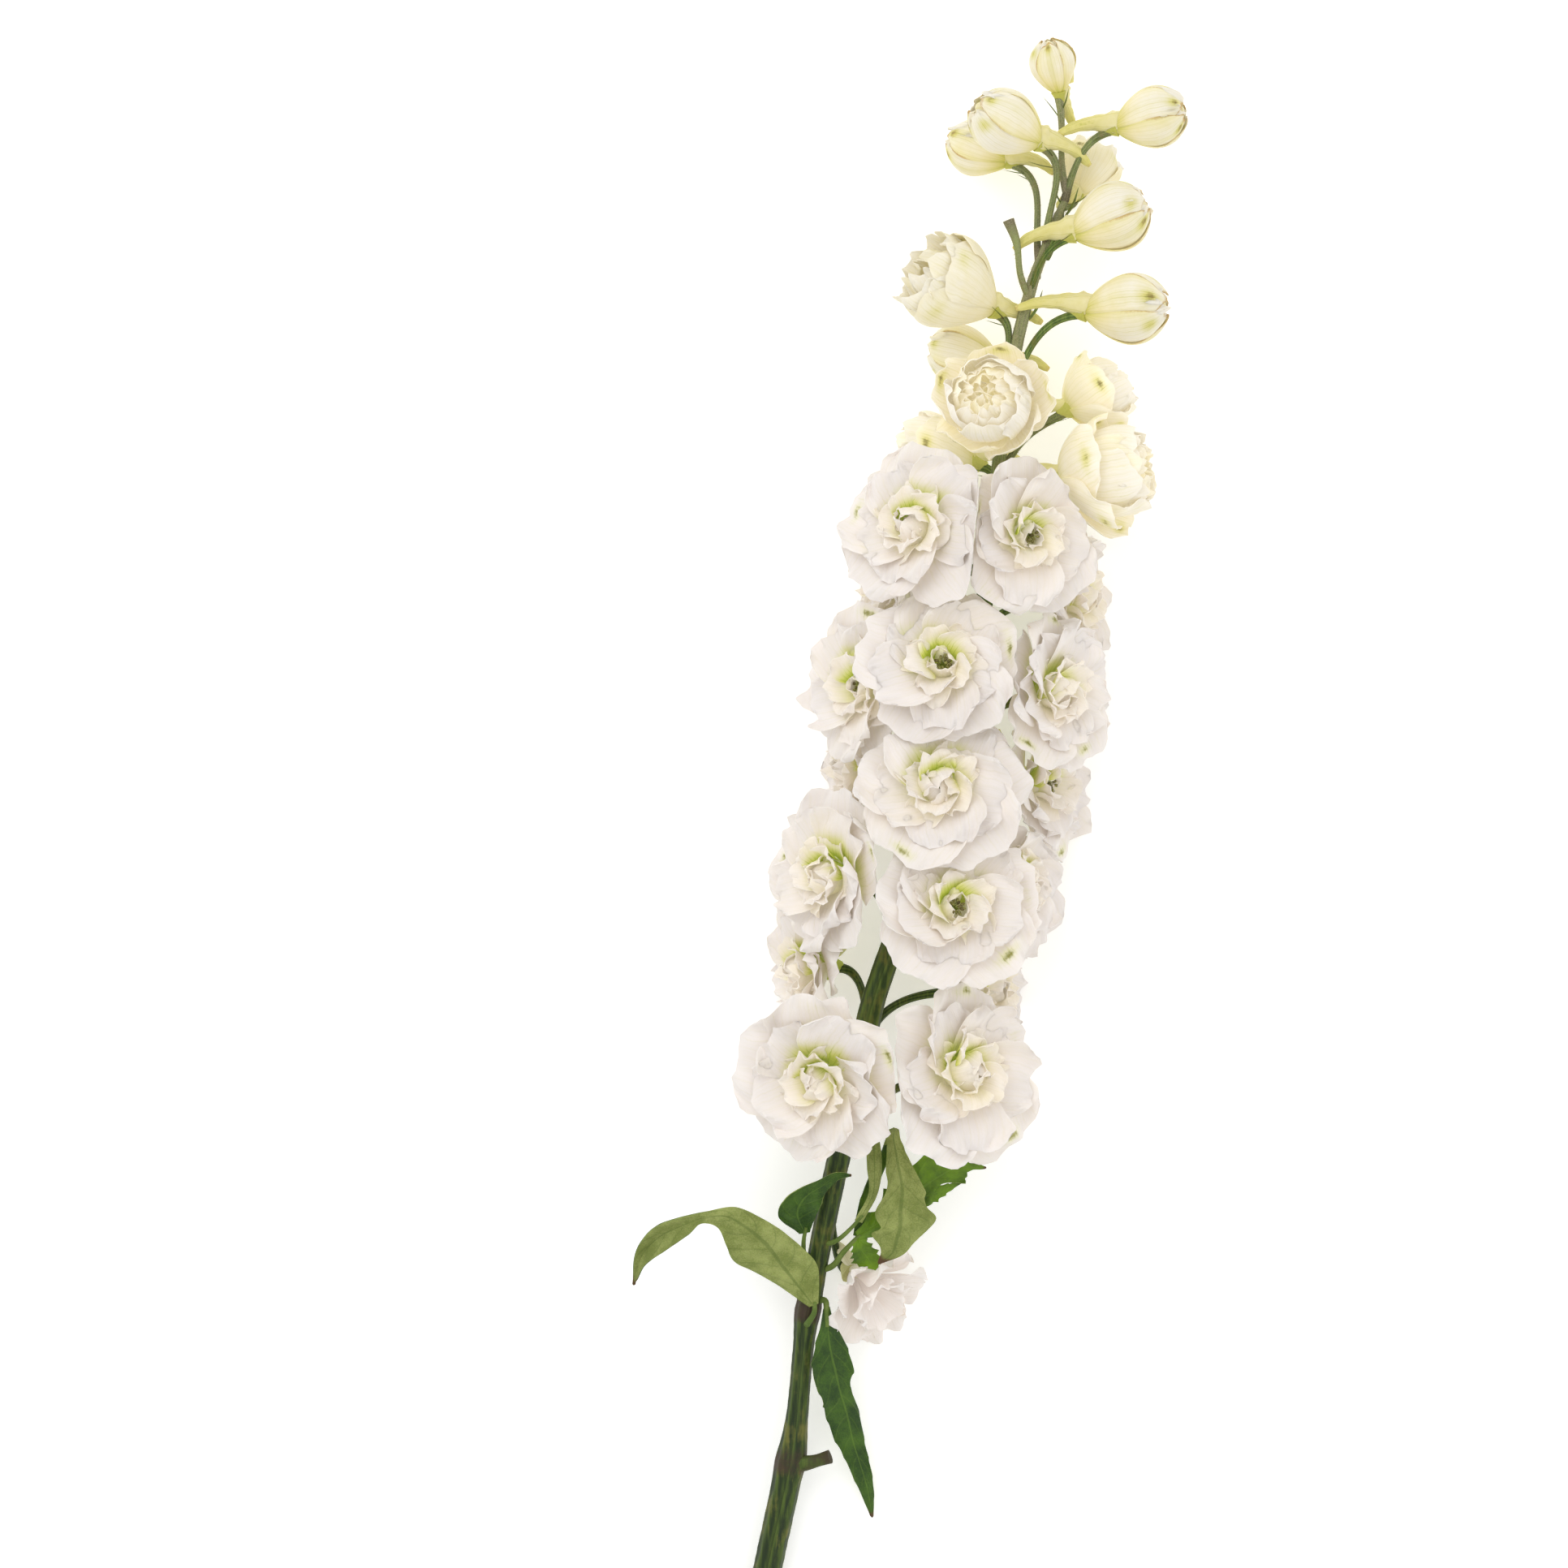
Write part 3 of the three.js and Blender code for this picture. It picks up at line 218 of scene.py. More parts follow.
def ease(distance, soft):
    """A distance kept above zero: soft times the logarithm of 1 + e^(distance / soft)."""
    return np.where(distance > 30 * soft, distance, soft * np.log1p(np.exp(np.minimum(distance / soft, 30))))


def turns(sides):
    """The angles at which the corners of a ring stand."""
    return 2 * np.pi * np.arange(sides) / sides


def through(rows, count):
    """A smooth curve through points, or three curves through rows of three: a cubic between each two, with
    the slope at a row that of the parabola through it and its neighbours. The parameter is the length of
    the chords, between the middle points where a row has three."""
    rows = np.asarray(rows, float)
    guide = rows[:, 1] if rows.ndim == 3 else rows
    at = np.concatenate([[0], np.cumsum(np.linalg.norm(np.diff(guide, axis=0), axis=1))])
    slope = np.gradient(rows, at, axis=0)
    where = np.linspace(0, at[-1], count)
    row = np.clip(np.searchsorted(at, where, side="right") - 1, 0, len(at) - 2)
    span = at[row + 1] - at[row]
    shape = (-1,) + (1,) * (rows.ndim - 1)
    t = ((where - at[row]) / span).reshape(shape)
    span = span.reshape(shape)
    return ((2 * t**3 - 3 * t**2 + 1) * rows[row] + (t**3 - 2 * t**2 + t) * span * slope[row]
            + (3 * t**2 - 2 * t**3) * rows[row + 1] + (t**3 - t**2) * span * slope[row + 1])


print("a quarter up a smooth step:", float(smooth(0, 1, 0.25)), "a chance:", round(float(chance(1, 2)), 3))


# %% Sheets and tubes
ASLANT = (0.13, 0.31, 0.94)  # a direction that none of the paths follows


def grid_quads(rows, columns, wrap=False):
    """The four corners of each cell of a grid of points; wrap joins the last column to the first."""
    index = np.arange(rows * columns).reshape(rows, columns)
    right = np.roll(index, -1, axis=1) if wrap else index[:, 1:]
    left = index if wrap else index[:, :-1]
    return np.stack([left[:-1], left[1:], right[1:], right[:-1]], axis=-1).reshape(-1, 4)


def shell(sheet, thick):
    """A closed blade from a sheet of points: two faces, each half the thickness off the sheet along its
    normal, and a wall round the rim between them."""
    rows, columns = sheet.shape[:2]
    normal = unit(np.cross(np.gradient(sheet, axis=0), np.gradient(sheet, axis=1)))
    half = 0.5 * np.asarray(thick)[..., None] * normal
    points = np.concatenate([(sheet + half).reshape(-1, 3), (sheet - half).reshape(-1, 3)])
    face = grid_quads(rows, columns)
    index = np.arange(rows * columns).reshape(rows, columns)
    rim = np.concatenate([index[:-1, 0], index[-1, :-1], index[:0:-1, -1], index[0, :0:-1]])
    onward = np.roll(rim, -1)
    under = rows * columns
    wall = np.stack([rim + under, onward + under, onward, rim], axis=1)
    return points, np.concatenate([face, face[:, ::-1] + under, wall])


def ringed(rings, start, end):
    """Rings of points joined into a closed skin, with a fan to one point at each end."""
    count, sides = rings.shape[:2]
    points = np.concatenate([rings.reshape(-1, 3), [start, end]])
    side = np.arange(sides)
    onward = np.roll(side, -1)
    last = (count - 1) * sides
    fans = np.concatenate([
        np.stack([np.full(sides, count * sides), onward, side], axis=1),
        np.stack([np.full(sides, count * sides + 1), last + side, last + onward], axis=1),
    ])
    return points, grid_quads(count, sides, wrap=True)[:, ::-1], fans


def beside(along, across=ASLANT):
    """Two directions square to a path and to each other. across is one that the path never follows."""
    first = unit(np.cross(along, across))
    return first, np.cross(along, first)


def tube(path, radius, sides, across=ASLANT):
    """Rings round a path, closed at both ends by one point. radius is one number for each point of the path,
    or one for each point and side."""
    first, second = beside(unit(np.gradient(path, axis=0)), across)
    angle = turns(sides)
    out = first[:, None] * np.cos(angle)[:, None] + second[:, None] * np.sin(angle)[:, None]
    radius = radius[:, None] if radius.ndim == 1 else radius
    rings = path[:, None] + out * np.broadcast_to(radius, (len(path), sides))[..., None]
    return ringed(rings, path[0], path[-1])


def tube_rows(count, sides, *columns):
    """A row for each point of a tube of count rings. A column is one number, one for each ring as a column of
    its own, or one for each side. The two end points repeat the first row of the first and last rings."""
    rows = np.stack([np.broadcast_to(column, (count, sides)) for column in columns], axis=-1)
    return np.concatenate([rows.reshape(count * sides, -1), rows[[0, -1], 0]])


print("cells in a grid of 24 by 17 points:", len(grid_quads(24, 17)))


# %% A skin that becomes a piece
METRES = 0.001  # in a millimetre
SHARP = math.radians(58)  # edges past this angle stay sharp
TALLY = {}  # triangles of each piece


def add_object(name, data):
    """Puts a mesh, a lamp or a camera into the scene."""
    made = bpy.data.objects.new(name, data)
    bpy.context.scene.collection.objects.link(made)
    return made


class Skin:
    """The points, faces, colour shares and measures of one piece, gathered shape by shape."""

    def __init__(self):
        self.points, self.faces, self.shares, self.measures, self.count = [], [], [], [], 0

    def add(self, points, *faces, shares=(0, 0, 0, 0), measures=(0, 0, 0)):
        """Adds a shape, and lifts what lies below the bench onto it. shares and measures are one row for all
        its points, or a row for each."""
        points[:, 2] = np.maximum(points[:, 2], 0)
        self.points.append(points)
        self.faces += [part + self.count for part in faces]
        self.shares.append(np.broadcast_to(np.asarray(shares, float), (len(points), 4)))
        self.measures.append(np.broadcast_to(np.asarray(measures, float), (len(points), 3)))
        self.count += len(points)

    def piece(self, name, finish, slot, *nodes):
        """Makes the object, in metres, with its finish, and hides the solids of the frame that it stands for.
        """
        points = np.concatenate(self.points) * METRES
        corners = np.concatenate([part.ravel() for part in self.faces])
        sizes = np.concatenate([np.full(len(part), part.shape[1]) for part in self.faces])
        mesh = bpy.data.meshes.new(name)
        mesh.vertices.add(len(points))
        mesh.vertices.foreach_set("co", points.ravel())
        mesh.loops.add(len(corners))
        mesh.loops.foreach_set("vertex_index", corners)
        mesh.polygons.add(len(sizes))
        mesh.polygons.foreach_set("loop_start", np.concatenate([[0], np.cumsum(sizes)[:-1]]))
        mesh.polygons.foreach_set("use_smooth", np.ones(len(sizes), bool))
        mesh.update(calc_edges=True)
        shares = mesh.attributes.new("shares", "FLOAT_COLOR", "POINT")
        shares.data.foreach_set("color", np.concatenate(self.shares).ravel())
        measures = mesh.attributes.new("measures", "FLOAT_VECTOR", "POINT")
        measures.data.foreach_set("vector", np.concatenate(self.measures).ravel())
        mesh.set_sharp_from_angle(angle=SHARP)
        mesh.materials.append(finish)
        piece = add_object(name, mesh)
        if nodes:
            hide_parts(*nodes)
        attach(piece, "root")
        TALLY[name] = int((sizes - 2).sum())


print("edges stay sharp past", round(math.degrees(SHARP)), "degrees")


# %% [markdown]
# ## Room to grow
#
# Thirty-one blooms crowd round one stem and still don't grow through each other: each petal bends away
# from the stem, from the next bloom and from the bench. The frame's solids bend by a rule, and the finer
# petals follow the same rule. Between two near blooms stands a plane, a wall that neither crosses. A point
# that would pass the wall is eased back to its own side.

# %% The stem at a height, and where each bloom stands
GAP = 0.34  # kept free between two blooms
PETAL_HALF = 0.25  # the half thickness with which petals keep their distance
MIDDLE_THICK = 2.4  # the core in which the petals of a bloom meet
SPUR_THICK = 1.9
NOTCH = 0.13  # the share of its length at which a petal leaves its neighbours


def stem_at(height):
    """Across, above the bench and radius at each height: a cubic between each two rows of the table, with the
    slope at a row that of the line from the row before it to the row after it."""
    height = np.asarray(height, float)
    row = np.clip(np.searchsorted(STEM[:, 0], height, side="right") - 1, 0, len(STEM) - 2)
    a, b = STEM[row], STEM[row + 1]
    before, after = STEM[np.maximum(row - 1, 0)], STEM[np.minimum(row + 2, len(STEM) - 1)]
    span = b[..., :1] - a[..., :1]
    t = np.clip((height[..., None] - a[..., :1]) / span, 0, 1)
    leave = (b - before) / (b[..., :1] - before[..., :1]) * span
    arrive = (after - a) / (after[..., :1] - a[..., :1]) * span
    rest = 2 * t**3 - 3 * t**2
    all_four = (1 + rest) * a + (t**3 - 2 * t**2 + t) * leave - rest * b + (t**3 - t**2) * arrive
    return np.moveaxis(all_four[..., 1:], -1, 0)


def stem_centre(height):
    """The point of the stem's centre line at a height."""
    x, z, _ = stem_at(height)
    return np.array([x, height, z])


def placed(name, stage, middle, faces, size, foot, seed):
    """A bloom with its axes: facing out, up towards its spur, and across."""
    turn, lift = np.radians(faces)
    facing = np.array([math.cos(lift) * math.cos(turn), math.sin(lift), math.cos(lift) * math.sin(turn)])
    across = unit(np.cross([0, 1, 0], facing))
    back, middle = STAGES[stage]["back"] * size, np.array(middle, float)
    return dict(name=name, stage=stage, size=size, foot=foot, seed=seed, facing=facing, across=across,
                up=unit(np.cross(facing, across)), heart=middle, base=middle - back * facing,
                radius=0.5 * size, depth=back)


def parting(one, other):
    """The plane between two blooms: its normal is the line between them divided by how far both spread in
    each direction, so it lies flat between two that face alike."""
    def spread(bloom):
        flat, deep = (0.55 * bloom["radius"])**2, (0.6 * bloom["depth"])**2
        return flat * np.eye(3) + (deep - flat) * np.outer(bloom["facing"], bloom["facing"])

    start = one["heart"] - 0.3 * one["depth"] * one["facing"]
    end = other["heart"] - 0.3 * other["depth"] * other["facing"]
    normal = unit(np.linalg.solve(spread(one) + spread(other), end - start))
    reach = [math.sqrt(normal @ spread(bloom) @ normal) for bloom in (one, other)]
    return -normal, start + (end - start) * reach[0] / sum(reach)


SOFTNESS = (1.4, 0, 0, 0, 0, 0)  # one soft pass, then five hard ones
BENCH_SOFT = 0.6


def bend_clear(points, walls, half):
    """Sheet points pushed out of the stem, off the walls and up from the bench, in one soft pass and five
    hard ones. half is the half thickness that they will get."""
    bent = np.array(points, float)
    clear = half + GAP / 2
    for soft in SOFTNESS:
        x, z, radius = stem_at(bent[..., 1])
        out = np.stack([bent[..., 0] - x, np.zeros_like(x), bent[..., 2] - z], axis=-1)
        far = np.linalg.norm(out, axis=-1)
        bent += unit(out) * np.maximum(radius + GAP + clear - far, 0)[..., None]
        for normal, point in walls:
            distance = (bent - point) @ normal - clear
            wanted = ease(distance, soft) if soft else np.maximum(distance, 0)
            bent += normal * (wanted - distance)[..., None]
        bent[..., 2] = ease(bent[..., 2], BENCH_SOFT) if soft else np.maximum(bent[..., 2], 0)
    return bent


print("the stem's middle:", np.round(stem_centre(0), 1).tolist())


# %% All blooms and the walls between them
NEAR = 1.25  # blooms closer than this many times their two radii get a wall
BLOOMS = [placed(*row) for row in BLOOM_TABLE]
for bloom in BLOOMS:
    bloom["walls"] = [
        parting(bloom, other) for other in BLOOMS
        if other is not bloom
        and np.linalg.norm(other["heart"] - bloom["heart"]) < NEAR * (bloom["radius"] + other["radius"])
    ]
print("walls a bloom, on average:", round(np.mean([len(bloom["walls"]) for bloom in BLOOMS]), 1))

# %% [markdown]
# ## One petal
#
# A delphinium petal is a narrow claw that widens into a broad, softly waved blade. Seen from the side it
# follows an arc, and seen along its length it is part of a round. So a petal could be cut out of a ball or
# a cone, but then its rim would be as regular as a spoon. Here it is a surface of two shares: one along
# the petal and one across it. Ripples grow towards the rim, and the tip is drawn in here and there, so
# that no two petals end alike.

# %% The petal's surface
WIDEST = 0.58  # the share of its length at which a petal is widest
ROUND, CLAW = 2.3, 0.85  # the powers that shape its tip and its foot
BLUNT = 0.85  # how far round the tip the last row of points goes


def petal_width(share):
    """Half width at a share of the length: a narrow foot, then the widest place, and a round tip."""
    tip = np.clip((share - WIDEST) / (1 - WIDEST), 0, 1)
    foot = np.clip(share / WIDEST, 0, 1)
    return np.where(share > WIDEST, (1 - tip**ROUND)**(1 / ROUND), np.sin(np.pi / 2 * foot)**CLAW)


def petal_reach(a, b):
    """How far along the petal a point lies. The last row of the grid is the round of the tip itself, so no
    column ends in a crowded point; the rows before it bend less and less, with the cube of a."""
    tip = WIDEST + (1 - WIDEST) * (1 - (BLUNT * np.minimum(np.abs(b), 1))**ROUND)**(1 / ROUND)
    return a * (1 - (1 - tip) * a**3)


def petal_sheet(bloom, layer, petal, a, b):
    """Points of one petal for shares a along it and b across it, from -1 to 1. The petal climbs along an arc
    from its first angle to its last, bends across its width on a circle, and leans over its neighbour. Slow
    sine waves, strongest at the rim, lift it along its normal, and quick ones nibble its outline. A pinched
    layer is drawn in towards its axis at the foot, by the square of what it has yet to climb."""
    size, seed = bloom["size"], bloom["seed"]

    def differ(place, most):
        return jitter(seed, (petal + 1) * place, most * layer["loose"])

    def phase(place):
        return 2 * np.pi * chance(seed + 7 * layer["lift"], (petal + 1) * place)

    def wave(cycles, place, more=0.0):
        return np.sin(2 * np.pi * cycles + phase(place) + more)

    long = layer["long"] * size * (1 + differ(1.7, 0.08))
    wide = layer["wide"] * size * (1 + differ(2.3, 0.07))
    first = math.radians(layer["rise"][0] + differ(3.1, 5))
    last = math.radians(layer["rise"][1] + differ(4.1, 8))
    around = 2 * math.pi * (petal + layer["turn"]) / layer["count"] + math.radians(90 + differ(5.3, 5))
    around = around + layer["twist"] * jitter(seed, (petal + 1) * 6.7, 1) * a

    nibble = 0.6 * wave(3.3 * b, 6.1) + 0.4 * wave(7.1 * b, 6.5)
    drawn = 1 - layer["notch"] * a**5 * (0.5 + 0.5 * np.cos(2 * np.pi * 0.9 * b + phase(7.3)) + 0.2 * nibble)
    climb = first + (last - first) * petal_reach(a, b) * drawn
    arc = long / (last - first)
    outward = layer["ring"] * size + arc * (np.sin(climb) - math.sin(first))
    gained = (math.cos(first) - np.cos(climb)) / (math.cos(first) - math.cos(last))
    outward = outward * (1 - layer["pinch"] * np.clip(1 - gained, 0, 1)**2)
    forward = layer["lift"] * size - arc * (np.cos(climb) - math.cos(first))
    round_ = outward if layer["wrap"] else layer["cup"] * size
    most = layer["wrap"] * outward if layer["wrap"] else np.inf
    ragged = 1 + layer["frill"] * a * (
        1.4 * wave(1.7 * a, 8.1, 1.5 * np.sign(b)) + 0.5 * wave(5.3 * a, 8.7, 2.1 * np.sign(b)))
    sideways = np.minimum(0.5 * wide * petal_width(petal_reach(a, 1.0)), most) * b * ragged

    rim = a * a * np.abs(b)**2.4 * (1 - a**6) + a**6
    ripple = np.sin(2 * np.pi * (1.4 * b + 1.1 * a + chance(seed, (petal + 1) * 5.9)))
    frill = (wave(0.8 * b + 0.9 * a, 9.7) + 0.6 * wave(1.5 * b - 1.3 * a, 11.3)
             + 0.16 * wave(3.7 * b + 2.3 * a, 12.9))
    raised = (round_ * (1 - np.cos(sideways / round_)) + layer["lean"] * sideways
              + layer["wave"] * size * ripple * a * a * np.abs(b) + layer["frill"] * size * frill * rim)
    x = round_ * np.sin(sideways / round_)
    r = outward - raised * np.sin(climb)
    z = forward + raised * np.cos(climb)
    right = r * np.cos(around) - x * np.sin(around)
    up = r * np.sin(around) + x * np.cos(around)
    sheet = (bloom["base"] + right[..., None] * bloom["across"] + up[..., None] * bloom["up"]
             + z[..., None] * bloom["facing"])
    return bend_clear(sheet, bloom["walls"], PETAL_HALF)


def petal_shares(rows, columns):
    """Shares along and across: rows crowd a little towards the tip, and columns towards the rims."""
    step, side = np.linspace(0, 1, rows), np.linspace(-1, 1, columns)
    a = 0.03 + 0.97 * (1 - (1 - step)**1.25)
    b = 0.6 * side + 0.4 * np.sin(np.pi / 2 * side)
    return np.meshgrid(a, b, indexing="ij")


print("half width of a petal along it:", np.round(petal_width(np.array([0.03, 0.25, 0.58, 0.9])), 2).tolist())


# %% [markdown]
# ## The petal's colours, and painted shade in its throat
#
# White delphiniums aren't plain white. The claw is lime green, the blade has a breath of cream, the sepals
# keep the olive spot that closed the bud, and old rims turn brown. In an open floret the green also reaches
# further and darker along the petals above the throat: that part is painted shade. These marks sit at fixed
# places of the petal, so each point of it carries four shares: green, spot, brown and cream. The material
# only has to mix its colours by them, and adds the veins.

# %% Shares of colour on a petal
SPOT_AT = 0.84  # the share of a sepal's length at which its olive spot lies
BELL, EYE = (0.085, 0.34), (0.045, 0.17)  # how far the spot and its dark middle reach, along and across


def mound(a, aside, middle, reach):
    """A round hill with a height of 1: e to the minus squares of the distances, each over its reach."""
    return np.exp(-((a - middle) / reach[0])**2 - (aside / reach[1])**2)


def petal_colours(bloom, layer, petal, a, b, depth):
    """Green falls from the foot, the petal's own colour. In an open floret it also runs further along the
    petals that stand above the throat, and deepens there: painted shade. The spot is a bell near the tip with
    a smaller, darker one inside it. Brown follows the rim of a few petals. Cream fades from foot to tip.
    depth counts the layers from the outside."""
    stage, seed = bloom["stage"], bloom["seed"]
    around = 2 * math.pi * (petal + layer["turn"]) / layer["count"] + math.pi / 2
    # How high a petal stands over the throat; open florets use it for painted shade there
    above = 0.5 + 0.5 * math.sin(around)
    lucky = chance(seed, (petal + 1) * 13.7 + depth)
    outermost = depth == 0
    aside = b - jitter(seed, (petal + 1) * 3.9, 0.25)
    tip = SPOT_AT + jitter(seed, (petal + 1) * 4.7, 0.05)
    bell = mound(a, aside, tip, BELL)
    eye = mound(a, aside, tip + 0.01, EYE)
    rim = smooth(0.82, 1.0, np.abs(b)) * smooth(0.3, 0.7, a) + smooth(0.93, 1.0, a)
    if stage == "bud" and outermost:
        green = (0.05 + 0.75 * smooth(0.42, 0.0, a) + 0.55 * bell + 0.3 * np.abs(b)**3 + 0.1 * lucky
                 + 0.3 * lucky * np.exp(-(aside / 0.2)**2))
        spot = eye * smooth(0.1, 0.6, lucky)
        brown = (0.45 + 0.4 * lucky) * rim + 0.4 * bell * lucky + 0.22 * lucky * smooth(0.5, 1, a)
        cream = 0.2 + 0.5 * smooth(0.6, 0.1, a) + 0.4 * np.abs(b)**2 + 0.2 * lucky
    elif stage == "opening" and outermost:
        green = 0.06 + 0.6 * smooth(0.4, 0.0, a) + 0.4 * bell
        spot = eye * smooth(0.1, 0.5, lucky)
        brown = 0.3 * rim * lucky + 0.2 * bell * lucky
        cream = 0.4 + 0.3 * lucky + 0.3 * smooth(0.6, 0.1, a)
    elif stage == "half" and outermost:
        green = 0.1 + 0.55 * smooth(0.45, 0.0, a) + 0.6 * bell
        spot = eye * smooth(0.1, 0.5, lucky)
        brown = 0.35 * rim * smooth(0.5, 1, lucky) + 0.25 * bell * lucky
        cream = 0.25 + 0.3 * lucky + 0.25 * smooth(0.6, 0.1, a)
    elif stage == "faded":
        green = 0.1 * smooth(0.4, 0, a)
        spot = 0.3 * eye * outermost
        brown = 0.05 + 0.4 * smooth(0.92, 1.0, a) * lucky + 0.1 * rim * lucky
        cream = 0.25 + 0.3 * lucky
    elif stage in ("bud", "opening", "half"):
        green = 0.04 + 0.3 * smooth(0.6, 0.0, a) + 0.12 * lucky
        spot = 0.0
        brown = 0.12 * rim * smooth(0.7, 1, lucky)
        cream = 0.05 + 0.07 * depth + 0.25 * lucky
    elif depth <= 1:
        reach = 0.68 + 0.2 * chance(seed, 91)
        # Painted shade: the throat's green runs further and deeper on the petals above it
        throat = smooth(reach, reach - 0.5, a + 0.2 * np.abs(b)) * (0.2 + 0.85 * above**2)
        green = throat + 0.45 * bell * outermost * smooth(0.45, 0.8, lucky)
        spot = eye * outermost * smooth(0.5, 0.85, lucky)
        brown = 0.3 * rim * smooth(0.75, 1.0, lucky) * outermost
        cream = 0.3 * smooth(0.9, 0.2, a) + 0.3 * lucky
    else:
        # Painted shade: inner petals above the throat turn a deeper green
        green = (0.25 + 1.1 * above**2) * smooth(0.9, 0.15, a) + 0.12 * lucky
        spot = 0.0
        brown = 0.1 * rim * smooth(0.8, 1.0, lucky)
        cream = 0.35 + 0.4 * lucky
    return np.stack(np.broadcast_arrays(green, spot, brown, cream), axis=-1).reshape(-1, 4)


print("the spot lies at", SPOT_AT, "of a sepal's length")

# %% [markdown]
# ## Spurs, knobs and inner petals
#
# The uppermost sepal runs out at the back into a hollow, wrinkled horn, the spur that gives the flower its
# name. In a bud it lies straight back over the stalk. In an open floret it turns up along the stem. It is
# a tube along a smooth path, wide where it leaves the sepal and blunt at its end. A small green knob joins
# each flower to its stalk, and the white inner petals fill the mouth of a closed bud like an egg.

# %% The spur
SPUR_SIDES = 14
SPUR_WIDE = {"bud": 0.225, "opening": 0.19}  # its mouth, in shares of the bloom's size; 0.08 in the others
SPUR_AT = [0, 0.06, 0.13, 0.2, 0.3, 0.42, 0.55, 0.7, 0.92, 1]
SPUR_SHARE = [0.2, 0.44, 0.62, 0.68, 0.5, 0.26, 0.08, 0, 0, 0]  # of the mouth, in the radius at each place
SPUR_MORE = [0, 0, 0, 0.2, 0.6, 1.3, 1.8, 1.9, 1.35, 0.8]  # and millimetres on top of it


def spur_path(bloom):
    """The spur's centres: from inside the bloom, through the middle of the notch behind the upper petal,
    and along the path of its stage, bent clear of what is near."""
    stage, size = STAGES[bloom["stage"]], bloom["size"]
    outer, facing, up = stage["layers"][0], bloom["facing"], bloom["up"]
    plain = {**outer, "frill": 0, "notch": 0}

    def at(petal, b):
        return petal_sheet(bloom, plain, petal, np.array([NOTCH]), np.array([float(b)]))[0]

    left, right = 0.5 * (at(4, 1) + at(0, -1)), 0.5 * (at(0, 1) + at(1, -1))
    behind = bloom["base"] - (MIDDLE_THICK / 2 + stage["under"] * size) * facing
    start = (left + right + at(0, 0) + behind) / 4
    long, path = stage["spur"][0] * size, stage["spur"][1]
    centres = [bend_clear(start - back * long * facing + rise * long * up, bloom["walls"], SPUR_THICK)
               for back, rise in path]
    inside = start + (0.2 * facing + 0.02 * up) * size
    return through([inside, start, *centres], 34)


def add_spur(skin, bloom):
    """A tube that swells out of the sepal, then falls to a blunt end, with a few wrinkles along it. Its
    first ring is narrow and lies inside the bloom, so that no rim shows where the two meet."""
    path, mouth = spur_path(bloom), SPUR_WIDE.get(bloom["stage"], 0.08) * bloom["size"]
    t, angle = np.linspace(0, 1, len(path)), turns(SPUR_SIDES)
    radius = np.interp(t, SPUR_AT, np.array(SPUR_SHARE) * mouth + SPUR_MORE)
    t = t[:, None]
    wrinkle = (1 + 0.09 * np.sin(3 * angle + 5 * t + bloom["seed"]) + 0.05 * np.sin(7 * angle - 9 * t)
               + 0.05 * np.sin(34 * t + 2 * angle))
    skin.add(*tube(path, radius[:, None] * wrinkle, SPUR_SIDES, bloom["across"]),
             shares=tube_rows(len(path), SPUR_SIDES, 0.4 + 0.3 * t, 0, 0.5 * smooth(0.9, 1, t), 0.5),
             measures=tube_rows(len(path), SPUR_SIDES, np.sin(angle), t, 0))


print("the first bud's spur:", round(STAGES["bud"]["spur"][0] * BLOOMS[0]["size"], 1), "mm long")


# %% The knob and the egg
KNOB_SIDES, EGG_SIDES = 12, 30
EGGS = {"bud": (0.27, 0.97), "opening": (0.22, 0.86), "half": (0.16, 0.6)}  # width and height of each


def radial(bloom, angle):
    """The direction away from a bloom's axis at an angle, or at each of several."""
    return np.cos(angle)[..., None] * bloom["across"] + np.sin(angle)[..., None] * bloom["up"]


def axis_rings(bloom, out, along, sides):
    """Rings round a bloom's axis: out is the radius of each ring, or of each of its points, and along how far
    before the bloom's base it stands."""
    return (bloom["base"] + out.reshape(len(along), -1, 1) * radial(bloom, turns(sides))
            + along[:, None, None] * bloom["facing"])


def stalk_thick(bloom):
    """The radius of the bloom's stalk."""
    return 0.9 + 0.013 * bloom["size"]


def add_knob(skin, bloom):
    """Rings along the bloom's own axis, from the width of its stalk to the foot of its petals."""
    size, under, thick = bloom["size"], STAGES[bloom["stage"]]["under"] * bloom["size"], stalk_thick(bloom)
    out = np.array([0.9 * thick, 1.3 * thick, 0.05 * size + 1.2, 0.07 * size + 1.4, 0.05 * size])
    along = np.array([-MIDDLE_THICK / 2 - under, -0.8 * under - 0.8, -0.35 * under, 0.1 * under + 0.4, 1.3])
    ends = bloom["base"] + along[[0, -1], None] * bloom["facing"]
    skin.add(*ringed(axis_rings(bloom, out, along, KNOB_SIDES), *ends), shares=(0.95, 0, 0.12, 0.4),
             measures=(0, 0.05, 0))


def add_egg(skin, bloom, wide, tall):
    """Rings of an egg round the bloom's axis, each pleated by a sine so that closed petals show. wide and
    tall are its radius and its height, in shares of the bloom's size."""
    height, tall = np.linspace(0.03, 0.985, 16), tall * bloom["size"]
    out = wide * np.sin(np.pi * height**1.15)**0.7 * bloom["size"]
    pleats = 1 + 0.07 * np.abs(np.sin(2.5 * turns(EGG_SIDES) + 2 * height[:, None]))
    rings = axis_rings(bloom, out[:, None] * pleats, height * tall, EGG_SIDES)
    foot, top = bloom["base"] + 0.02 * tall * bloom["facing"], bloom["base"] + tall * bloom["facing"]
    skin.add(*ringed(bend_clear(rings, bloom["walls"], PETAL_HALF), foot,
                     bend_clear(top, bloom["walls"], PETAL_HALF)),
             shares=(0.16, 0, 0.04, 0.5), measures=(0, 0.5, 0))


print("a stalk's radius:", round(stalk_thick(BLOOMS[0]), 2), "to", round(stalk_thick(BLOOMS[-2]), 2), "mm")


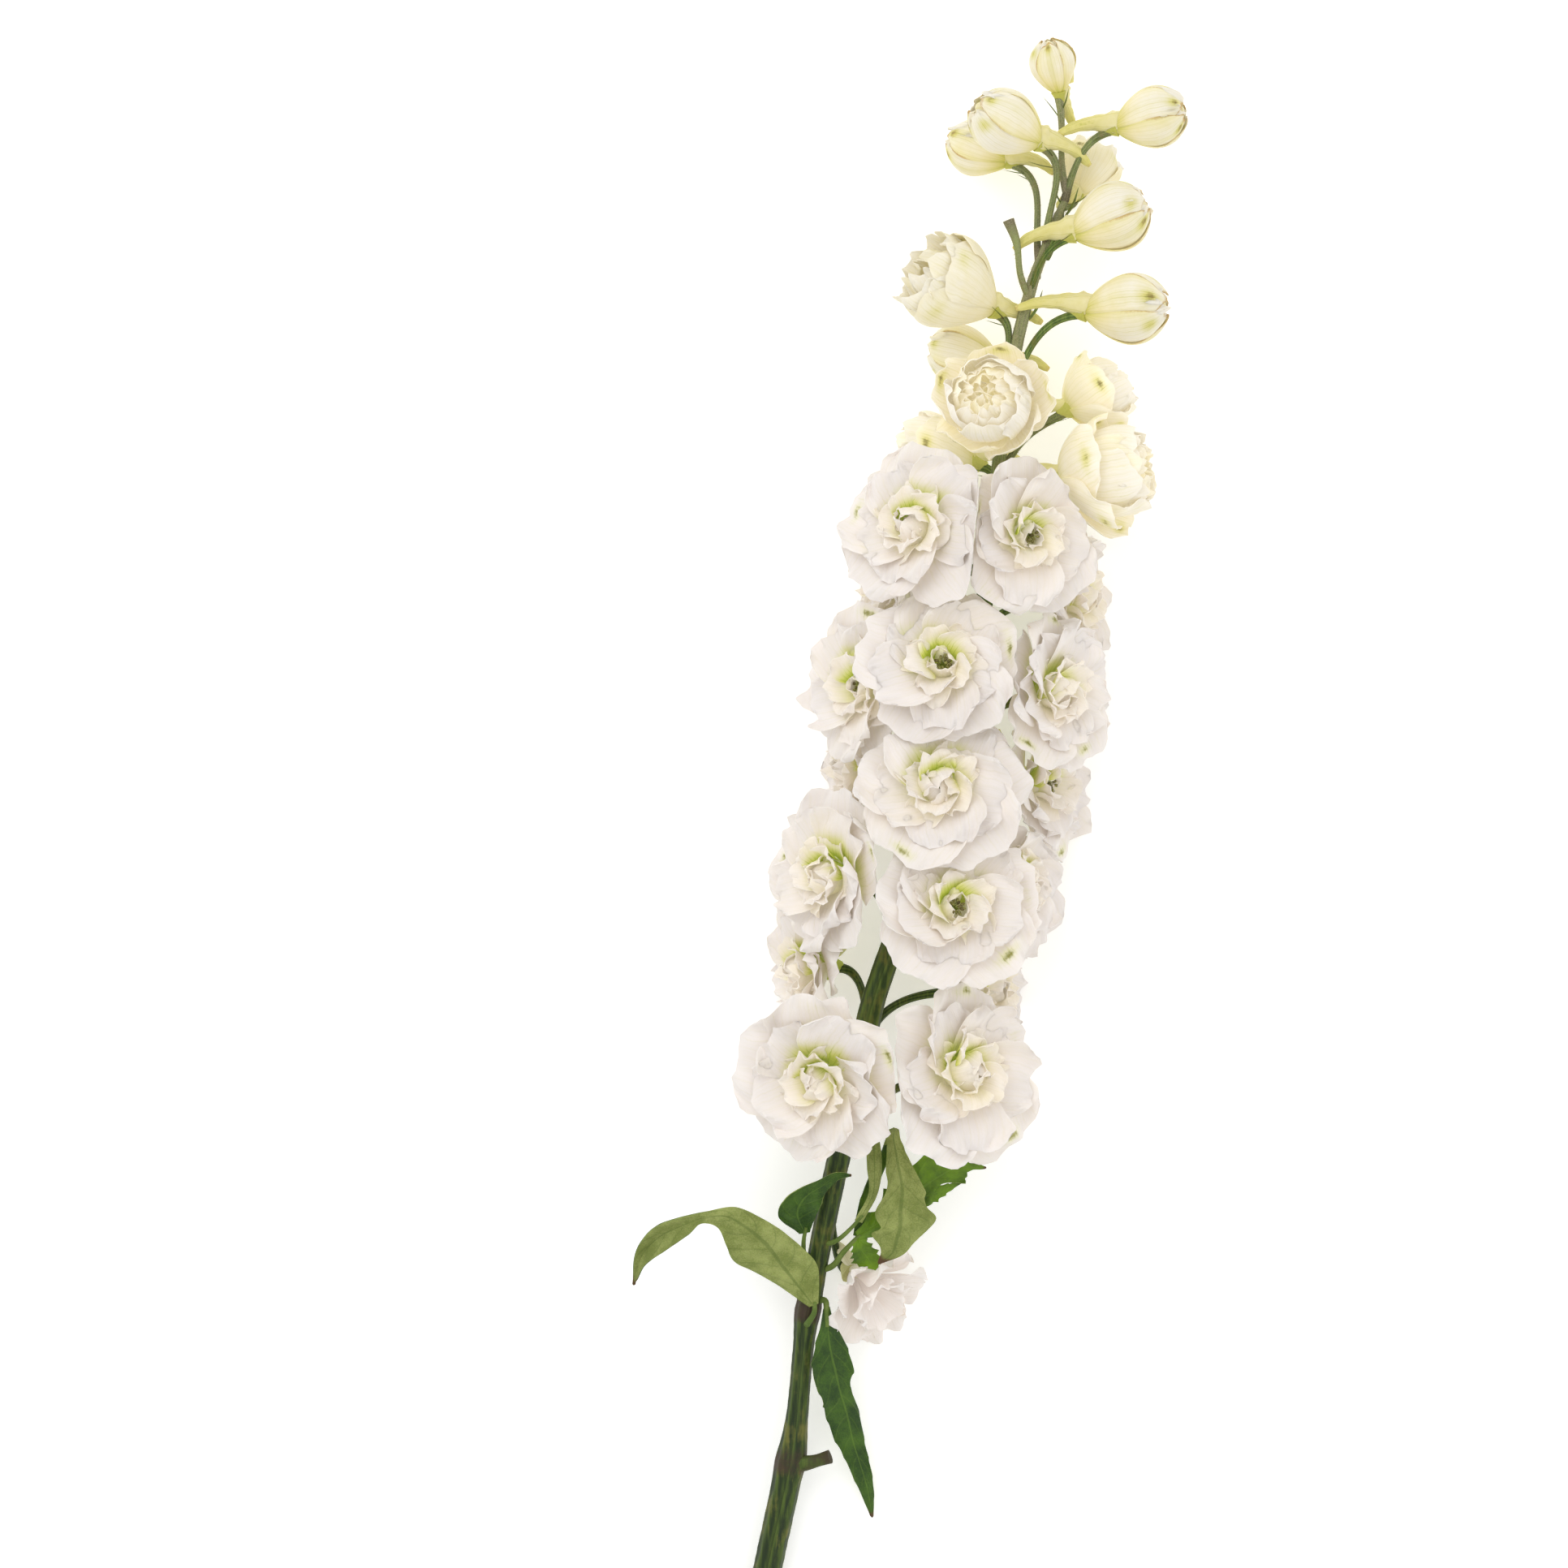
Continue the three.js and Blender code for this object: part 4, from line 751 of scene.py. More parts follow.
# %% [markdown]
# ## Finishes
#
# Blender's materials are graphs of nodes. A graph is easier to read as arithmetic, so a small class wraps
# a node's output, and each sum, product or mix of wires adds its own node. Patterns read the object's own
# coordinates, in millimetres, or the measures along a petal, so they stay on the surface from any side.

# %% A wire through a material
class Wire:
    """A number or colour on its way through a material."""

    def __init__(self, tree, socket):
        self.tree, self.socket = tree, socket

    def node(self, kind, settings=None, inputs=None, out=0):
        """Adds a node: its type, its settings, then the values or wires of its sockets by name or number."""
        node = self.tree.nodes.new(kind)
        for key, value in (settings or {}).items():
            setattr(node, key, value)
        for key, value in (inputs or {}).items():
            if isinstance(value, Wire):
                self.tree.links.new(value.socket, node.inputs[key])
            else:
                node.inputs[key].default_value = value
        return Wire(self.tree, node.outputs[out])

    def math(self, operation, *others):
        return self.node("ShaderNodeMath", {"operation": operation}, dict(enumerate((self, *others))))

    def __add__(self, other): return self.math("ADD", other)
    def __radd__(self, other): return self.math("ADD", other)
    def __sub__(self, other): return self.math("SUBTRACT", other)
    def __rsub__(self, other): return (self * -1) + other
    def __mul__(self, other): return self.math("MULTIPLY", other)
    def __rmul__(self, other): return self.math("MULTIPLY", other)
    def __pow__(self, other): return self.math("POWER", other)

    def ramp(self, start, end):
        """0 at start and 1 at end, smooth between them."""
        return self.node("ShaderNodeMapRange", {"interpolation_type": "SMOOTHSTEP"},
                         {0: self, 1: start, 2: end, 3: 0.0, 4: 1.0})

    def blend(self, first, second):
        """A colour that goes from first to second as this wire goes from 0 to 1."""
        return self.node("ShaderNodeMix", {"data_type": "RGBA"}, {0: self, 6: first, 7: second}, out=2)

    def ridge(self):
        """1 at whole numbers and 0 halfway between them."""
        return 1 - self.math("PINGPONG", 0.5) * 2

    def channels(self):
        """The three parts of a vector."""
        split = self.node("ShaderNodeSeparateXYZ", inputs={0: self}).socket.node
        return [Wire(self.tree, part) for part in split.outputs]


# %% Colours, materials and patterns
def paint(red, green, blue):
    """A screen colour from 0 to 255 as the light that a material reflects."""
    screen = np.array([red, green, blue]) / 255
    light = np.where(screen <= 0.04045, screen / 12.92, ((screen + 0.055) / 1.055)**2.4)
    return (*light.tolist(), 1.0)


def finish(name, build, **constant):
    """A material: build gives the wires for the shader's sockets, and constant the values that never vary."""
    material = bpy.data.materials.new(name)
    material.use_nodes = True
    tree = material.node_tree
    shader = tree.nodes["Principled BSDF"]
    start = Wire(tree, None)
    place = start.node("ShaderNodeVectorMath", {"operation": "SCALE"}, {
        0: start.node("ShaderNodeTexCoord", out=3), "Scale": 1000.0})
    for key, value in constant.items():
        shader.inputs[key.replace("_", " ")].default_value = value
    for key, wire in build(start, place).items():
        tree.links.new(wire.socket, shader.inputs[key])
    return material


def shares_of(start):
    """The four colour shares and the three measures that every point carries."""
    shares = start.node("ShaderNodeAttribute", {"attribute_name": "shares"})
    red, green, blue = shares.channels()
    alpha = Wire(start.tree, shares.socket.node.outputs["Alpha"])
    measures = start.node("ShaderNodeAttribute", {"attribute_name": "measures"}, out=1)
    return (red, green, blue, alpha), measures.channels()


def noise(start, place, scale, detail=3.0):
    """Soft noise from 0 to 1, scale waves to a millimetre."""
    return start.node("ShaderNodeTexNoise", inputs={"Vector": place, "Scale": scale, "Detail": detail,
                                                    "Roughness": 0.55})


def bump(start, strength, distance, height):
    """A normal that leans with the slope of a height. distance is how far 1 stands out, in metres."""
    return start.node("ShaderNodeBump", inputs={"Strength": strength, "Distance": distance, "Height": height})


print("mid grey reflects", round(paint(128, 128, 128)[0], 3), "of the light")


# %% Petals
# The petals' painted glow is a faint light of their own that lifts their shade; this is its dim colour
DIM_PAINTED_GLOW = paint(138, 132, 116)  # the glow of a petal with no cream


def petal_finish(name, vein_share, painted_glow_strength, *screen_colours):
    """Veins run along lines of equal share across the petal, and fork once. Green, spot and brown follow
    their shares, broken up by noise so that no edge is clean. Light comes through a petal this thin; a
    painted glow in its own cream or lime, dimmer where cream is low, stands in for it and lifts the petal's
    shade."""
    light, creamy, lime, leafy, spotted, old = (paint(*colour) for colour in screen_colours)

    def build(start, place):
        (green, spot, brown, cream), (across, along, own) = shares_of(start)
        cloud = noise(start, place, 0.16)
        fine = noise(start, place, 1.3, 4.0)
        bent = across + (noise(start, place, 0.35) - 0.5) * 0.1 + own
        wide_veins = (bent * 5.0).ridge() ** 7
        thin_veins = (bent * 11.0).ridge() ** 5 * along.ramp(0.25, 0.6)
        veins = (wide_veins + thin_veins * 0.7) * along.ramp(0.0, 0.2) * along.ramp(1.04, 0.85)
        colour = (cream + (cloud - 0.5) * 0.6).ramp(0.0, 1.0).blend(light, creamy)
        colour = (veins * 0.25).blend(colour, creamy)
        greened = (green + (cloud - 0.5) * 0.3 + veins * vein_share * 0.4).ramp(0.05, 0.85)
        colour = (greened * 0.95).blend(colour, lime)
        # Where green runs high it deepens to leafy: the buds' own base, and the painted shade above an open
        # floret's throat
        colour = (green + veins * 0.3 + (fine - 0.5) * 0.25).ramp(0.6, 1.2).blend(colour, leafy)
        colour = (veins * vein_share * (green * 0.9 + 0.2)).blend(colour, leafy)
        colour = (spot + (fine - 0.5) * 0.7 + veins * 0.2).ramp(0.25, 1.0).blend(colour, spotted)
        worn = brown * 1.3 + (fine - 0.5) * 0.8 + (cloud - 0.5) * 0.4
        colour = worn.ramp(0.3, 1.1).blend(colour, old)
        # Painted glow in cream or lime, dimmer where cream is low: it lifts the shade in the folds
        glow = (green * 0.9).ramp(0.0, 1.0).blend(creamy, lime)
        glow = (cream + 0.1).ramp(0.0, 0.8).blend(DIM_PAINTED_GLOW, glow)
        height = fine * 0.3 + veins * 0.45 + cloud * 0.3
        return {"Base Color": colour, "Emission Color": glow, "Roughness": fine * 0.2 + 0.55,
                "Normal": bump(start, 0.2, 0.0004, height)}

    return finish(name, build, Subsurface_Weight=0.5, Subsurface_Radius=(1.0, 0.97, 0.92),
                  Subsurface_Scale=0.0008, Specular_IOR_Level=0.3, Emission_Strength=painted_glow_strength)


PETAL_FINISHES = {stage: petal_finish(*row) for stage, row in {
    # name, share of veins, strength of the painted glow, then colours: light, creamy, lime, leafy, spotted,
    # old
    "open": ("white_petal", 0.14, 0.13, (232, 225, 222), (231, 221, 205), (204, 208, 96), (158, 178, 40),
             (128, 128, 44), (196, 158, 118)),
    "bud": ("bud_skin", 0.28, 0.13, (236, 231, 219), (229, 217, 172), (206, 198, 106), (166, 170, 62),
            (112, 98, 46), (178, 146, 88)),
    "half": ("half_open_petal", 0.28, 0.24, (237, 231, 221), (231, 222, 190), (208, 202, 112),
             (170, 174, 66), (112, 98, 46), (186, 156, 104)),
    "faded": ("papery_petal", 0.3, 0.13, (235, 229, 226), (230, 221, 213), (206, 200, 146), (150, 150, 70),
              (120, 96, 60), (196, 168, 140)),
}.items()}
PETAL_FINISHES["opening"] = PETAL_FINISHES["bud"]
print("petal finishes:", {stage: made.name for stage, made in PETAL_FINISHES.items()})


# %% [markdown]
# ## Blooms
#
# A bloom is its layers of petals, its knob and its spur, gathered in one skin. The whole flower is one
# growth in the plant too, so it is one piece here.

# %% Dress every bloom
def petal_thick(a, b):
    """Thick at the foot and thin at the rim and the tip."""
    return 0.15 + (0.12 + 0.5 * (1 - a)**2) * (1 - b**4) * (1 - a**6)


def dress_bloom(bloom):
    """One skin for one bloom: each petal is a sheet with two faces, thicker at its foot."""
    skin, stage = Skin(), bloom["stage"]
    for depth, layer in enumerate(layers_of(bloom)):
        for petal in range(layer["count"]):
            a, b = petal_shares(*layer["mesh"])
            points, faces = shell(petal_sheet(bloom, layer, petal, a, b), petal_thick(a, b))
            colours = petal_colours(bloom, layer, petal, a, b, depth)
            own = chance(bloom["seed"] + depth, (petal + 1) * 17.3)
            measures = np.stack([b, a, np.full_like(a, own)], axis=-1).reshape(-1, 3)
            skin.add(points, faces, shares=np.tile(colours, (2, 1)), measures=np.tile(measures, (2, 1)))
    if stage in EGGS:
        add_egg(skin, bloom, *EGGS[stage])
    add_spur(skin, bloom)
    add_knob(skin, bloom)
    slot = "bud" if stage in ("bud", "opening") else "petal"
    skin.piece("petals_" + bloom["name"], PETAL_FINISHES[stage], slot, bloom["name"])


for bloom in BLOOMS:
    dress_bloom(bloom)
print("triangles in all blooms:", sum(TALLY.values()))

# %% [markdown]
# ## Stamens
#
# The dark eye of an open floret is a tuft of stamens: thin pale threads with plump olive anthers, round
# three small green seed horns. One stamen is a few dozen faces, and each is turned and stretched a little
# differently from the same fixed numbers.

# %% Anthers, threads and horns
STAMENS, HORNS = 14, 3
GOLDEN_TURN = 2.399963  # from one stamen to the next, so that no two stand in line
ANTHER_AT = np.array([0, 0.12, 0.35, 0.65, 0.88, 1])  # shares of an anther's length where it has a ring
HORN_RADII = np.array([0.5, 0.6, 0.55, 0.42, 0.28, 0.14])


def stamen_finish():
    """Olive brown with dark and mossy flecks; the share of green turns it into the pale thread."""
    def build(start, place):
        (green, _, brown, _), _ = shares_of(start)
        fleck = noise(start, place, 2.2, 4.0)
        colour = (fleck + brown * 0.4 - 0.2).ramp(0.3, 0.7).blend(paint(148, 146, 78), paint(96, 84, 46))
        colour = green.blend(colour, paint(170, 184, 84))
        return {"Base Color": colour, "Roughness": fleck * 0.2 + 0.6,
                "Normal": bump(start, 0.5, 0.0003, fleck)}

    return finish("stamen", build)


def dress_stamens(bloom):
    """Threads start in the throat, splay outwards and end in an anther, a stretched ball. The horns stand
    closer to the axis."""
    skin, seed, facing = Skin(), bloom["seed"], bloom["facing"]
    throat = bloom["base"] + (0.08 * bloom["size"] + MIDDLE_THICK / 2 + 0.5) * facing
    for k in range(STAMENS):
        out, tall = radial(bloom, GOLDEN_TURN * k), 3.0 + 2.2 * chance(seed, k * 3.3 + 1)
        ring = 0.4 + 1.5 * math.sqrt((k + 0.5) / STAMENS)
        foot = throat + 0.6 * ring * out
        head = foot + tall * facing + (0.5 * ring + 0.3) * out
        path = through([foot, 0.5 * (foot + head) - 0.2 * out, head], 4)
        skin.add(*tube(path, np.linspace(0.16, 0.12, 4), 5), shares=(1, 0, 0, 0))
        body = unit(out * (0.8 + 0.6 * chance(seed, k * 5.1)) + facing * jitter(seed, k * 7.9, 0.8))
        line = head + (ANTHER_AT[:, None] - 0.4) * body * (1.3 + 0.5 * chance(seed, k * 2.7))
        skin.add(*tube(line, 0.1 + 0.42 * np.sin(np.pi * ANTHER_AT)**0.6, 7),
                 shares=(0, 0, chance(seed, k * 4.3), 0))
    for k in range(HORNS):
        out = radial(bloom, 2 * math.pi * k / HORNS + seed)
        foot = throat + 0.3 * out
        path = through([foot, foot + 1.6 * facing + 0.3 * out, foot + 3.2 * facing + 0.5 * out], 6)
        skin.add(*tube(path, HORN_RADII, 8), shares=(0.75, 0, 0, 0))
    name = bloom["name"].replace("floret", "stamens")
    skin.piece("tuft_" + name, STAMEN, "stamen", name)


STAMEN = stamen_finish()
for bloom in BLOOMS:
    if bloom["stage"] == "open":
        dress_stamens(bloom)
print("triangles in one tuft:", TALLY["tuft_stamens_01"])


# %% [markdown]
# ## The stem and its stalks
#
# A delphinium stem is a ribbed green tube, hollow where it is cut, brown in places and swollen where a leaf
# or a side shoot leaves it. A plain round tube would look like wire. So the rings follow the frame's stem,
# and each has eight shallow ribs and a little noise. The skin starts at the floor of the hollow, turns over
# the cut and runs up to the tip. Every bloom hangs on a stalk of its own, a tube along a curve that leaves
# the stem upwards and enters the flower from behind. Near the tip both wear a grey down. Hair curves would
# be lost in an export, so each hair is a small three-sided spike.

# %% The stem's skin
CUT, TIP = STEM[0, 0], STEM[-1, 0]  # heights of the stem's two ends
NODE, SCAR = -138, -187  # heights where the leaves leave, and where the side shoot broke off
STEM_RINGS, STEM_SIDES, RIBS = 260, 40, 8
SLANT = 1.6  # how far the cut leans, on each side of the axis
HOLLOW = np.array([-263.8, -265, -268.4, -269.7, -270.2])  # heights of the rings from its floor to the rim
HOLLOW_WIDE = np.array([1.2, 2.1, 2.3, 2.5, 3.6])  # and their radii


def swelling(height, middle, reach):
    """1 at its middle, falling off on both sides: e to the minus square of the distance over its reach."""
    return np.exp(-((height - middle) / reach)**2)


def add_stem(skin):
    """Rings in planes across the height: first up out of the hollow, then from the cut to the tip."""
    angle, height = turns(STEM_SIDES), np.linspace(CUT, TIP, STEM_RINGS)[:, None]
    x, z, radius = stem_at(height)
    node = 0.09 * swelling(height, NODE, 3.5) + 0.06 * swelling(height, SCAR, 4)
    rib = 1 + 0.035 * np.cos(RIBS * angle + 0.004 * height) + 0.012 * np.cos(3 * angle + 0.05 * height)
    rough = 0.01 * np.sin(1.7 * height + 2 * angle) + 0.008 * np.sin(0.63 * height - 3 * angle)
    out = radius * (0.95 * rib + rough + node)
    slant = np.where(height < CUT + 4, 1 - (height - CUT) / 4, 0) * -SLANT * np.cos(angle)
    rings = np.stack([x + out * np.sin(angle), height + slant, z + out * np.cos(angle)], axis=-1)
    low, wide, lean = HOLLOW[:, None], HOLLOW_WIDE[:, None], SLANT * (HOLLOW < -268)[:, None]
    hole = np.stack([x[0] + wide * np.sin(angle), low - lean * np.cos(angle) * (wide / 5),
                     z[0] + wide * np.cos(angle)], axis=-1)
    inside = np.concatenate([np.ones_like(low), np.zeros_like(height)])
    along = np.concatenate([low, height])
    dark = swelling(along, NODE, 5) + 0.8 * swelling(along, SCAR, 6) + smooth(-225, -262, along)
    floor = np.array([x[0, 0], HOLLOW[0], z[0, 0]])
    skin.add(*ringed(np.concatenate([hole, rings]), floor, stem_centre(TIP)),
             shares=tube_rows(len(along), STEM_SIDES, inside, smooth(60, 170, along), np.clip(dark, 0, 1), 0),
             measures=tube_rows(len(along), STEM_SIDES, RIBS * angle / (2 * np.pi), 0, 0))


print("the stem runs from", CUT, "to", TIP, "mm with", STEM_RINGS, "rings")


# %% Stalks
STALK_POINTS, STALK_SIDES = 22, 12
STALK_SHRINK = 0.96  # makes up for the bumps of a stalk


def bezier(start, leave, arrive, end, count):
    """A curve pulled from its two ends towards two more points, with its own points at equal distances."""
    def at(t):
        t = t[:, None]
        return ((1 - t)**3 * start + 3 * (1 - t)**2 * t * leave + 3 * (1 - t) * t**2 * arrive + t**3 * end)

    fine = at(np.linspace(0, 1, 200))
    length = np.concatenate([[0], np.cumsum(np.linalg.norm(np.diff(fine, axis=0), axis=1))])
    return at(np.interp(np.linspace(0, length[-1], count), length, np.linspace(0, 1, 200)))


def stalk_path(bloom):
    """Out of the stem, up along it, and into the back of the bloom."""
    foot, under = stem_centre(bloom["foot"]), STAGES[bloom["stage"]]["under"] * bloom["size"]
    tip = bloom["base"] - 0.7 * under * bloom["facing"] - 0.8 * bloom["up"]
    far = np.linalg.norm(tip - foot)
    aside = (tip - foot) * [1, 0, 1]
    rise = np.array([0, 0.4 * far, 0]) + 0.12 * far * unit(aside)
    return bezier(foot, foot + rise, tip - 0.36 * far * bloom["facing"], tip, STALK_POINTS)


def add_stalk(skin, bloom):
    """A stalk a little thicker at both ends, and darker at its foot."""
    t, angle = np.linspace(0, 1, STALK_POINTS)[:, None], turns(STALK_SIDES)
    radius = stalk_thick(bloom) * (1.22 - 0.35 * np.sin(np.pi * t))
    bumpy = 1 + 0.05 * np.cos(5 * angle) + 0.04 * np.sin(9 * t + 2 * angle + bloom["seed"])
    fuzz = (0.35 + 0.65 * chance(bloom["seed"], 31)) * (1 if bloom["foot"] > 95 else 0.3)
    dark = 0.9 * smooth(0.3, 0.08, t) * (bloom["foot"] > 140) + 0.2 * chance(bloom["seed"], 37)
    skin.add(*tube(stalk_path(bloom), radius * bumpy * STALK_SHRINK, STALK_SIDES, bloom["across"]),
             shares=tube_rows(STALK_POINTS, STALK_SIDES, 0, fuzz, dark, 0),
             measures=tube_rows(STALK_POINTS, STALK_SIDES, angle * RIBS / (2 * np.pi), 0, 0))


lengths = [np.linalg.norm(np.diff(stalk_path(bloom), axis=0), axis=1).sum() for bloom in BLOOMS]
print("stalks are", round(min(lengths)), "to", round(max(lengths)), "mm long")


# %% Bracts
def add_strap(skin, points, wide, thick, across):
    """A narrow bract: a tube along a smooth path, flattened across, that ends in a point."""
    count, sides = 12, 8
    t, angle = np.linspace(0, 1, count)[:, None], turns(sides)
    shape = np.sin(np.pi * (0.12 + 0.86 * t))**0.7 * (1 - 0.5 * t)
    radius = shape / np.sqrt((np.cos(angle) / wide)**2 + (np.sin(angle) / thick)**2)
    skin.add(*tube(through(points, count), radius, sides, across), shares=(0, 0.2, 0.6, 0))


def add_bracts(skin, bloom):
    """One bract at the foot of the stalk unless the bloom is open, and two thin bractlets near a flower
    that is not yet open, one on each side.
    """
    path, centre = stalk_path(bloom), stem_centre(bloom["foot"])
    facing, up, seed, radius = bloom["facing"], bloom["up"], bloom["seed"], stem_at(bloom["foot"])[2]
    out = unit((path[7] - centre) * [1, 0, 1])
    if bloom["stage"] != "open":
        rows = [centre + (radius + away) * out + [0, rise, 0]
                for away, rise in ((-1.2, -5), (1.3, -1.6), (3.4, 4.4))]
        add_strap(skin, rows, 1.15, 0.35, np.cross(out, [0, 1, 0]) * 0.2 + out)
    if bloom["stage"] in ("bud", "opening", "half"):
        for side, at in ((1, 18), (-1, 16)):
            foot, long = path[at], 6.5 + 3 * chance(seed, side * 9.1)
            away = side * bloom["across"] + 0.35 * up * jitter(seed, side * 3.7, 1)
            rows = np.array([foot, foot + 0.35 * long * facing + 0.3 * long * away,
                             foot + 0.95 * long * facing + 0.62 * long * away])
            rows[1:] = bend_clear(rows[1:], bloom["walls"], 0.3)
            add_strap(skin, rows, 0.34, 0.2, facing * 0.3 + up)


# %% Down
HAIR_SHORT, HAIR_LONG = 0.6, 1.25
HAIR_FACES = np.array([[0, 1, 2], [0, 3, 1], [1, 3, 2], [2, 3, 0]])


def add_down(skin, path, radius, count, seed):
    """Short hairs on a path's tube, each a three-sided spike. Its foot is at a random share of the length and
    at a random turn, and it points outwards and a little along."""
    rng = np.random.default_rng(seed)
    at = rng.uniform(0, len(path) - 1.01, count)
    step = at.astype(int)
    part = (at - step)[:, None]
    centre = path[step] * (1 - part) + path[step + 1] * part
    along = unit(path[step + 1] - path[step])
    first, second = beside(along)
    turn = rng.uniform(0, 2 * np.pi, count)[:, None]
    out = np.cos(turn) * first + np.sin(turn) * second
    aside = np.cross(along, out)
    wide = np.interp(at, np.arange(len(path)), radius)[:, None]
    way = unit(out + along * rng.normal(0, 0.4, (count, 1)) + aside * rng.normal(0, 0.3, (count, 1)))
    foot = centre + 0.9 * wide * out
    tip = foot + way * rng.uniform(HAIR_SHORT, HAIR_LONG, (count, 1))
    corners = [foot + 0.04 * along, foot - 0.02 * along + 0.035 * aside, foot - 0.02 * along - 0.035 * aside]
    faces = HAIR_FACES + 4 * np.arange(count)[:, None, None]
    skin.add(np.stack([*corners, tip], axis=1).reshape(-1, 3), faces.reshape(-1, 3), shares=(0, 1.4, 0, 0))


print("hairs are", HAIR_SHORT, "to", HAIR_LONG, "mm long")


# %% The finish of stem and stalks
def stem_finish():
    """Green with pale ribs and dark grooves, olive in patches, brown patches low down and at the nodes, and
    a grey down near the tip."""
    def build(start, place):
        (inside, fuzz, dark, _), (turn, _, _) = shares_of(start)
        x, y, z = place.channels()
        streaked = start.node("ShaderNodeCombineXYZ", inputs={0: x, 1: y * 0.06, 2: z})
        streak = noise(start, streaked, 0.9, 5.0)
        patch = noise(start, place, 0.11, 4.0)
        fine = noise(start, place, 2.6, 3.0)
        rib = turn.ridge()
        shade = (streak * 0.8 + rib * 0.35 - 0.1).ramp(0.25, 0.85)
        colour = y.ramp(-120.0, 120.0).blend(shade.blend(paint(30, 46, 16), paint(84, 104, 38)),
                                             shade.blend(paint(66, 90, 34), paint(130, 152, 72)))
        colour = (patch + (streak - 0.5) * 0.5).ramp(0.5, 0.75).blend(colour, paint(104, 104, 44))
        colour = (rib * (streak + 0.2)).ramp(0.8, 1.1).blend(colour, paint(140, 150, 84))
        brown = (dark * 1.1 + (patch - 0.5) * 1.2 + (fine - 0.5) * 0.5).ramp(0.45, 0.95)
        colour = (brown * 0.85).blend(colour, paint(66, 50, 38))
        colour = (fuzz * (fine * 0.8 + 0.15)).ramp(0.15, 1.0).blend(colour, paint(182, 172, 142))
        colour = inside.blend(colour, (streak + fine * 0.4 - 0.2).ramp(0.3, 0.8).blend(
            paint(92, 84, 52), paint(176, 172, 116)))
        height = streak * 0.6 + fine * (fuzz + 0.4) + rib * 0.3
        return {"Base Color": colour, "Roughness": streak * 0.25 + 0.42 + fuzz * 0.2,
                "Normal": bump(start, 0.5, 0.0005, height)}

    return finish("stem_skin", build, Specular_IOR_Level=0.3)


STEM_SKIN = stem_finish()
print("finish:", STEM_SKIN.name)

# %% Grow the stem and the stalks
HAIRS_ON_STALK, HAIRS_ON_STEM, HAIRS_ON_BARE_STALK = 170, 1500, 240
skin = Skin()
add_stem(skin)
for bloom in BLOOMS:
    add_stalk(skin, bloom)
stub, t = through(BARE_STALK, 20), np.linspace(0, 1, 20)
skin.add(*tube(stub, 1.05 + 0.85 * t**4 + 0.08 * np.sin(9 * t), 12),
         shares=tube_rows(20, 12, 0, 0.9, (0.35 + 0.5 * t**3)[:, None], 0))
t, angle = np.linspace(0, 1, 14)[:, None], turns(14)
cracked = (2.55 - 0.4 * t + 0.25 * np.sin(7 * t)) * (1 + 0.08 * np.sin(3 * angle + 4 * t))
skin.add(*tube(through(SIDE_STUMP, 14), cracked, 14), shares=tube_rows(14, 14, 0, 0.2, 0.35 + 0.6 * t, 0))
skin.piece("stem_and_stalks", STEM_SKIN, "stem", "stem")

skin = Skin()
for bloom in BLOOMS:
    add_bracts(skin, bloom)
skin.piece("bracts", STEM_SKIN, "stem")

skin = Skin()
for bloom in BLOOMS:
    if bloom["stage"] != "open":
        thick = np.full(STALK_POINTS, STALK_SHRINK * stalk_thick(bloom))
        add_down(skin, stalk_path(bloom), thick, HAIRS_ON_STALK, bloom["seed"])
height = np.linspace(110, TIP, 80)
x, z, radius = stem_at(height)
add_down(skin, np.stack([x, height, z], axis=-1), radius, HAIRS_ON_STEM, 5)
add_down(skin, stub, np.full(20, 1.2), HAIRS_ON_BARE_STALK, 6)
skin.piece("down", STEM_SKIN, "stem")
print("stem:", TALLY["stem_and_stalks"], "bracts:", TALLY["bracts"], "down:", TALLY["down"])


# %% [markdown]
# ## Leaves
#
# The lower leaves of a cut spike hang, fold and curl. Their edges are drawn as three lines, the left rim,
# the midrib and the right rim. A leaf could be a flat sheet bent with a lattice, but the lines say
# directly where it goes. The sheet runs smoothly through them, creases a little at the midrib, and its rim
# gets teeth. Parallel veins press lines into the blade.

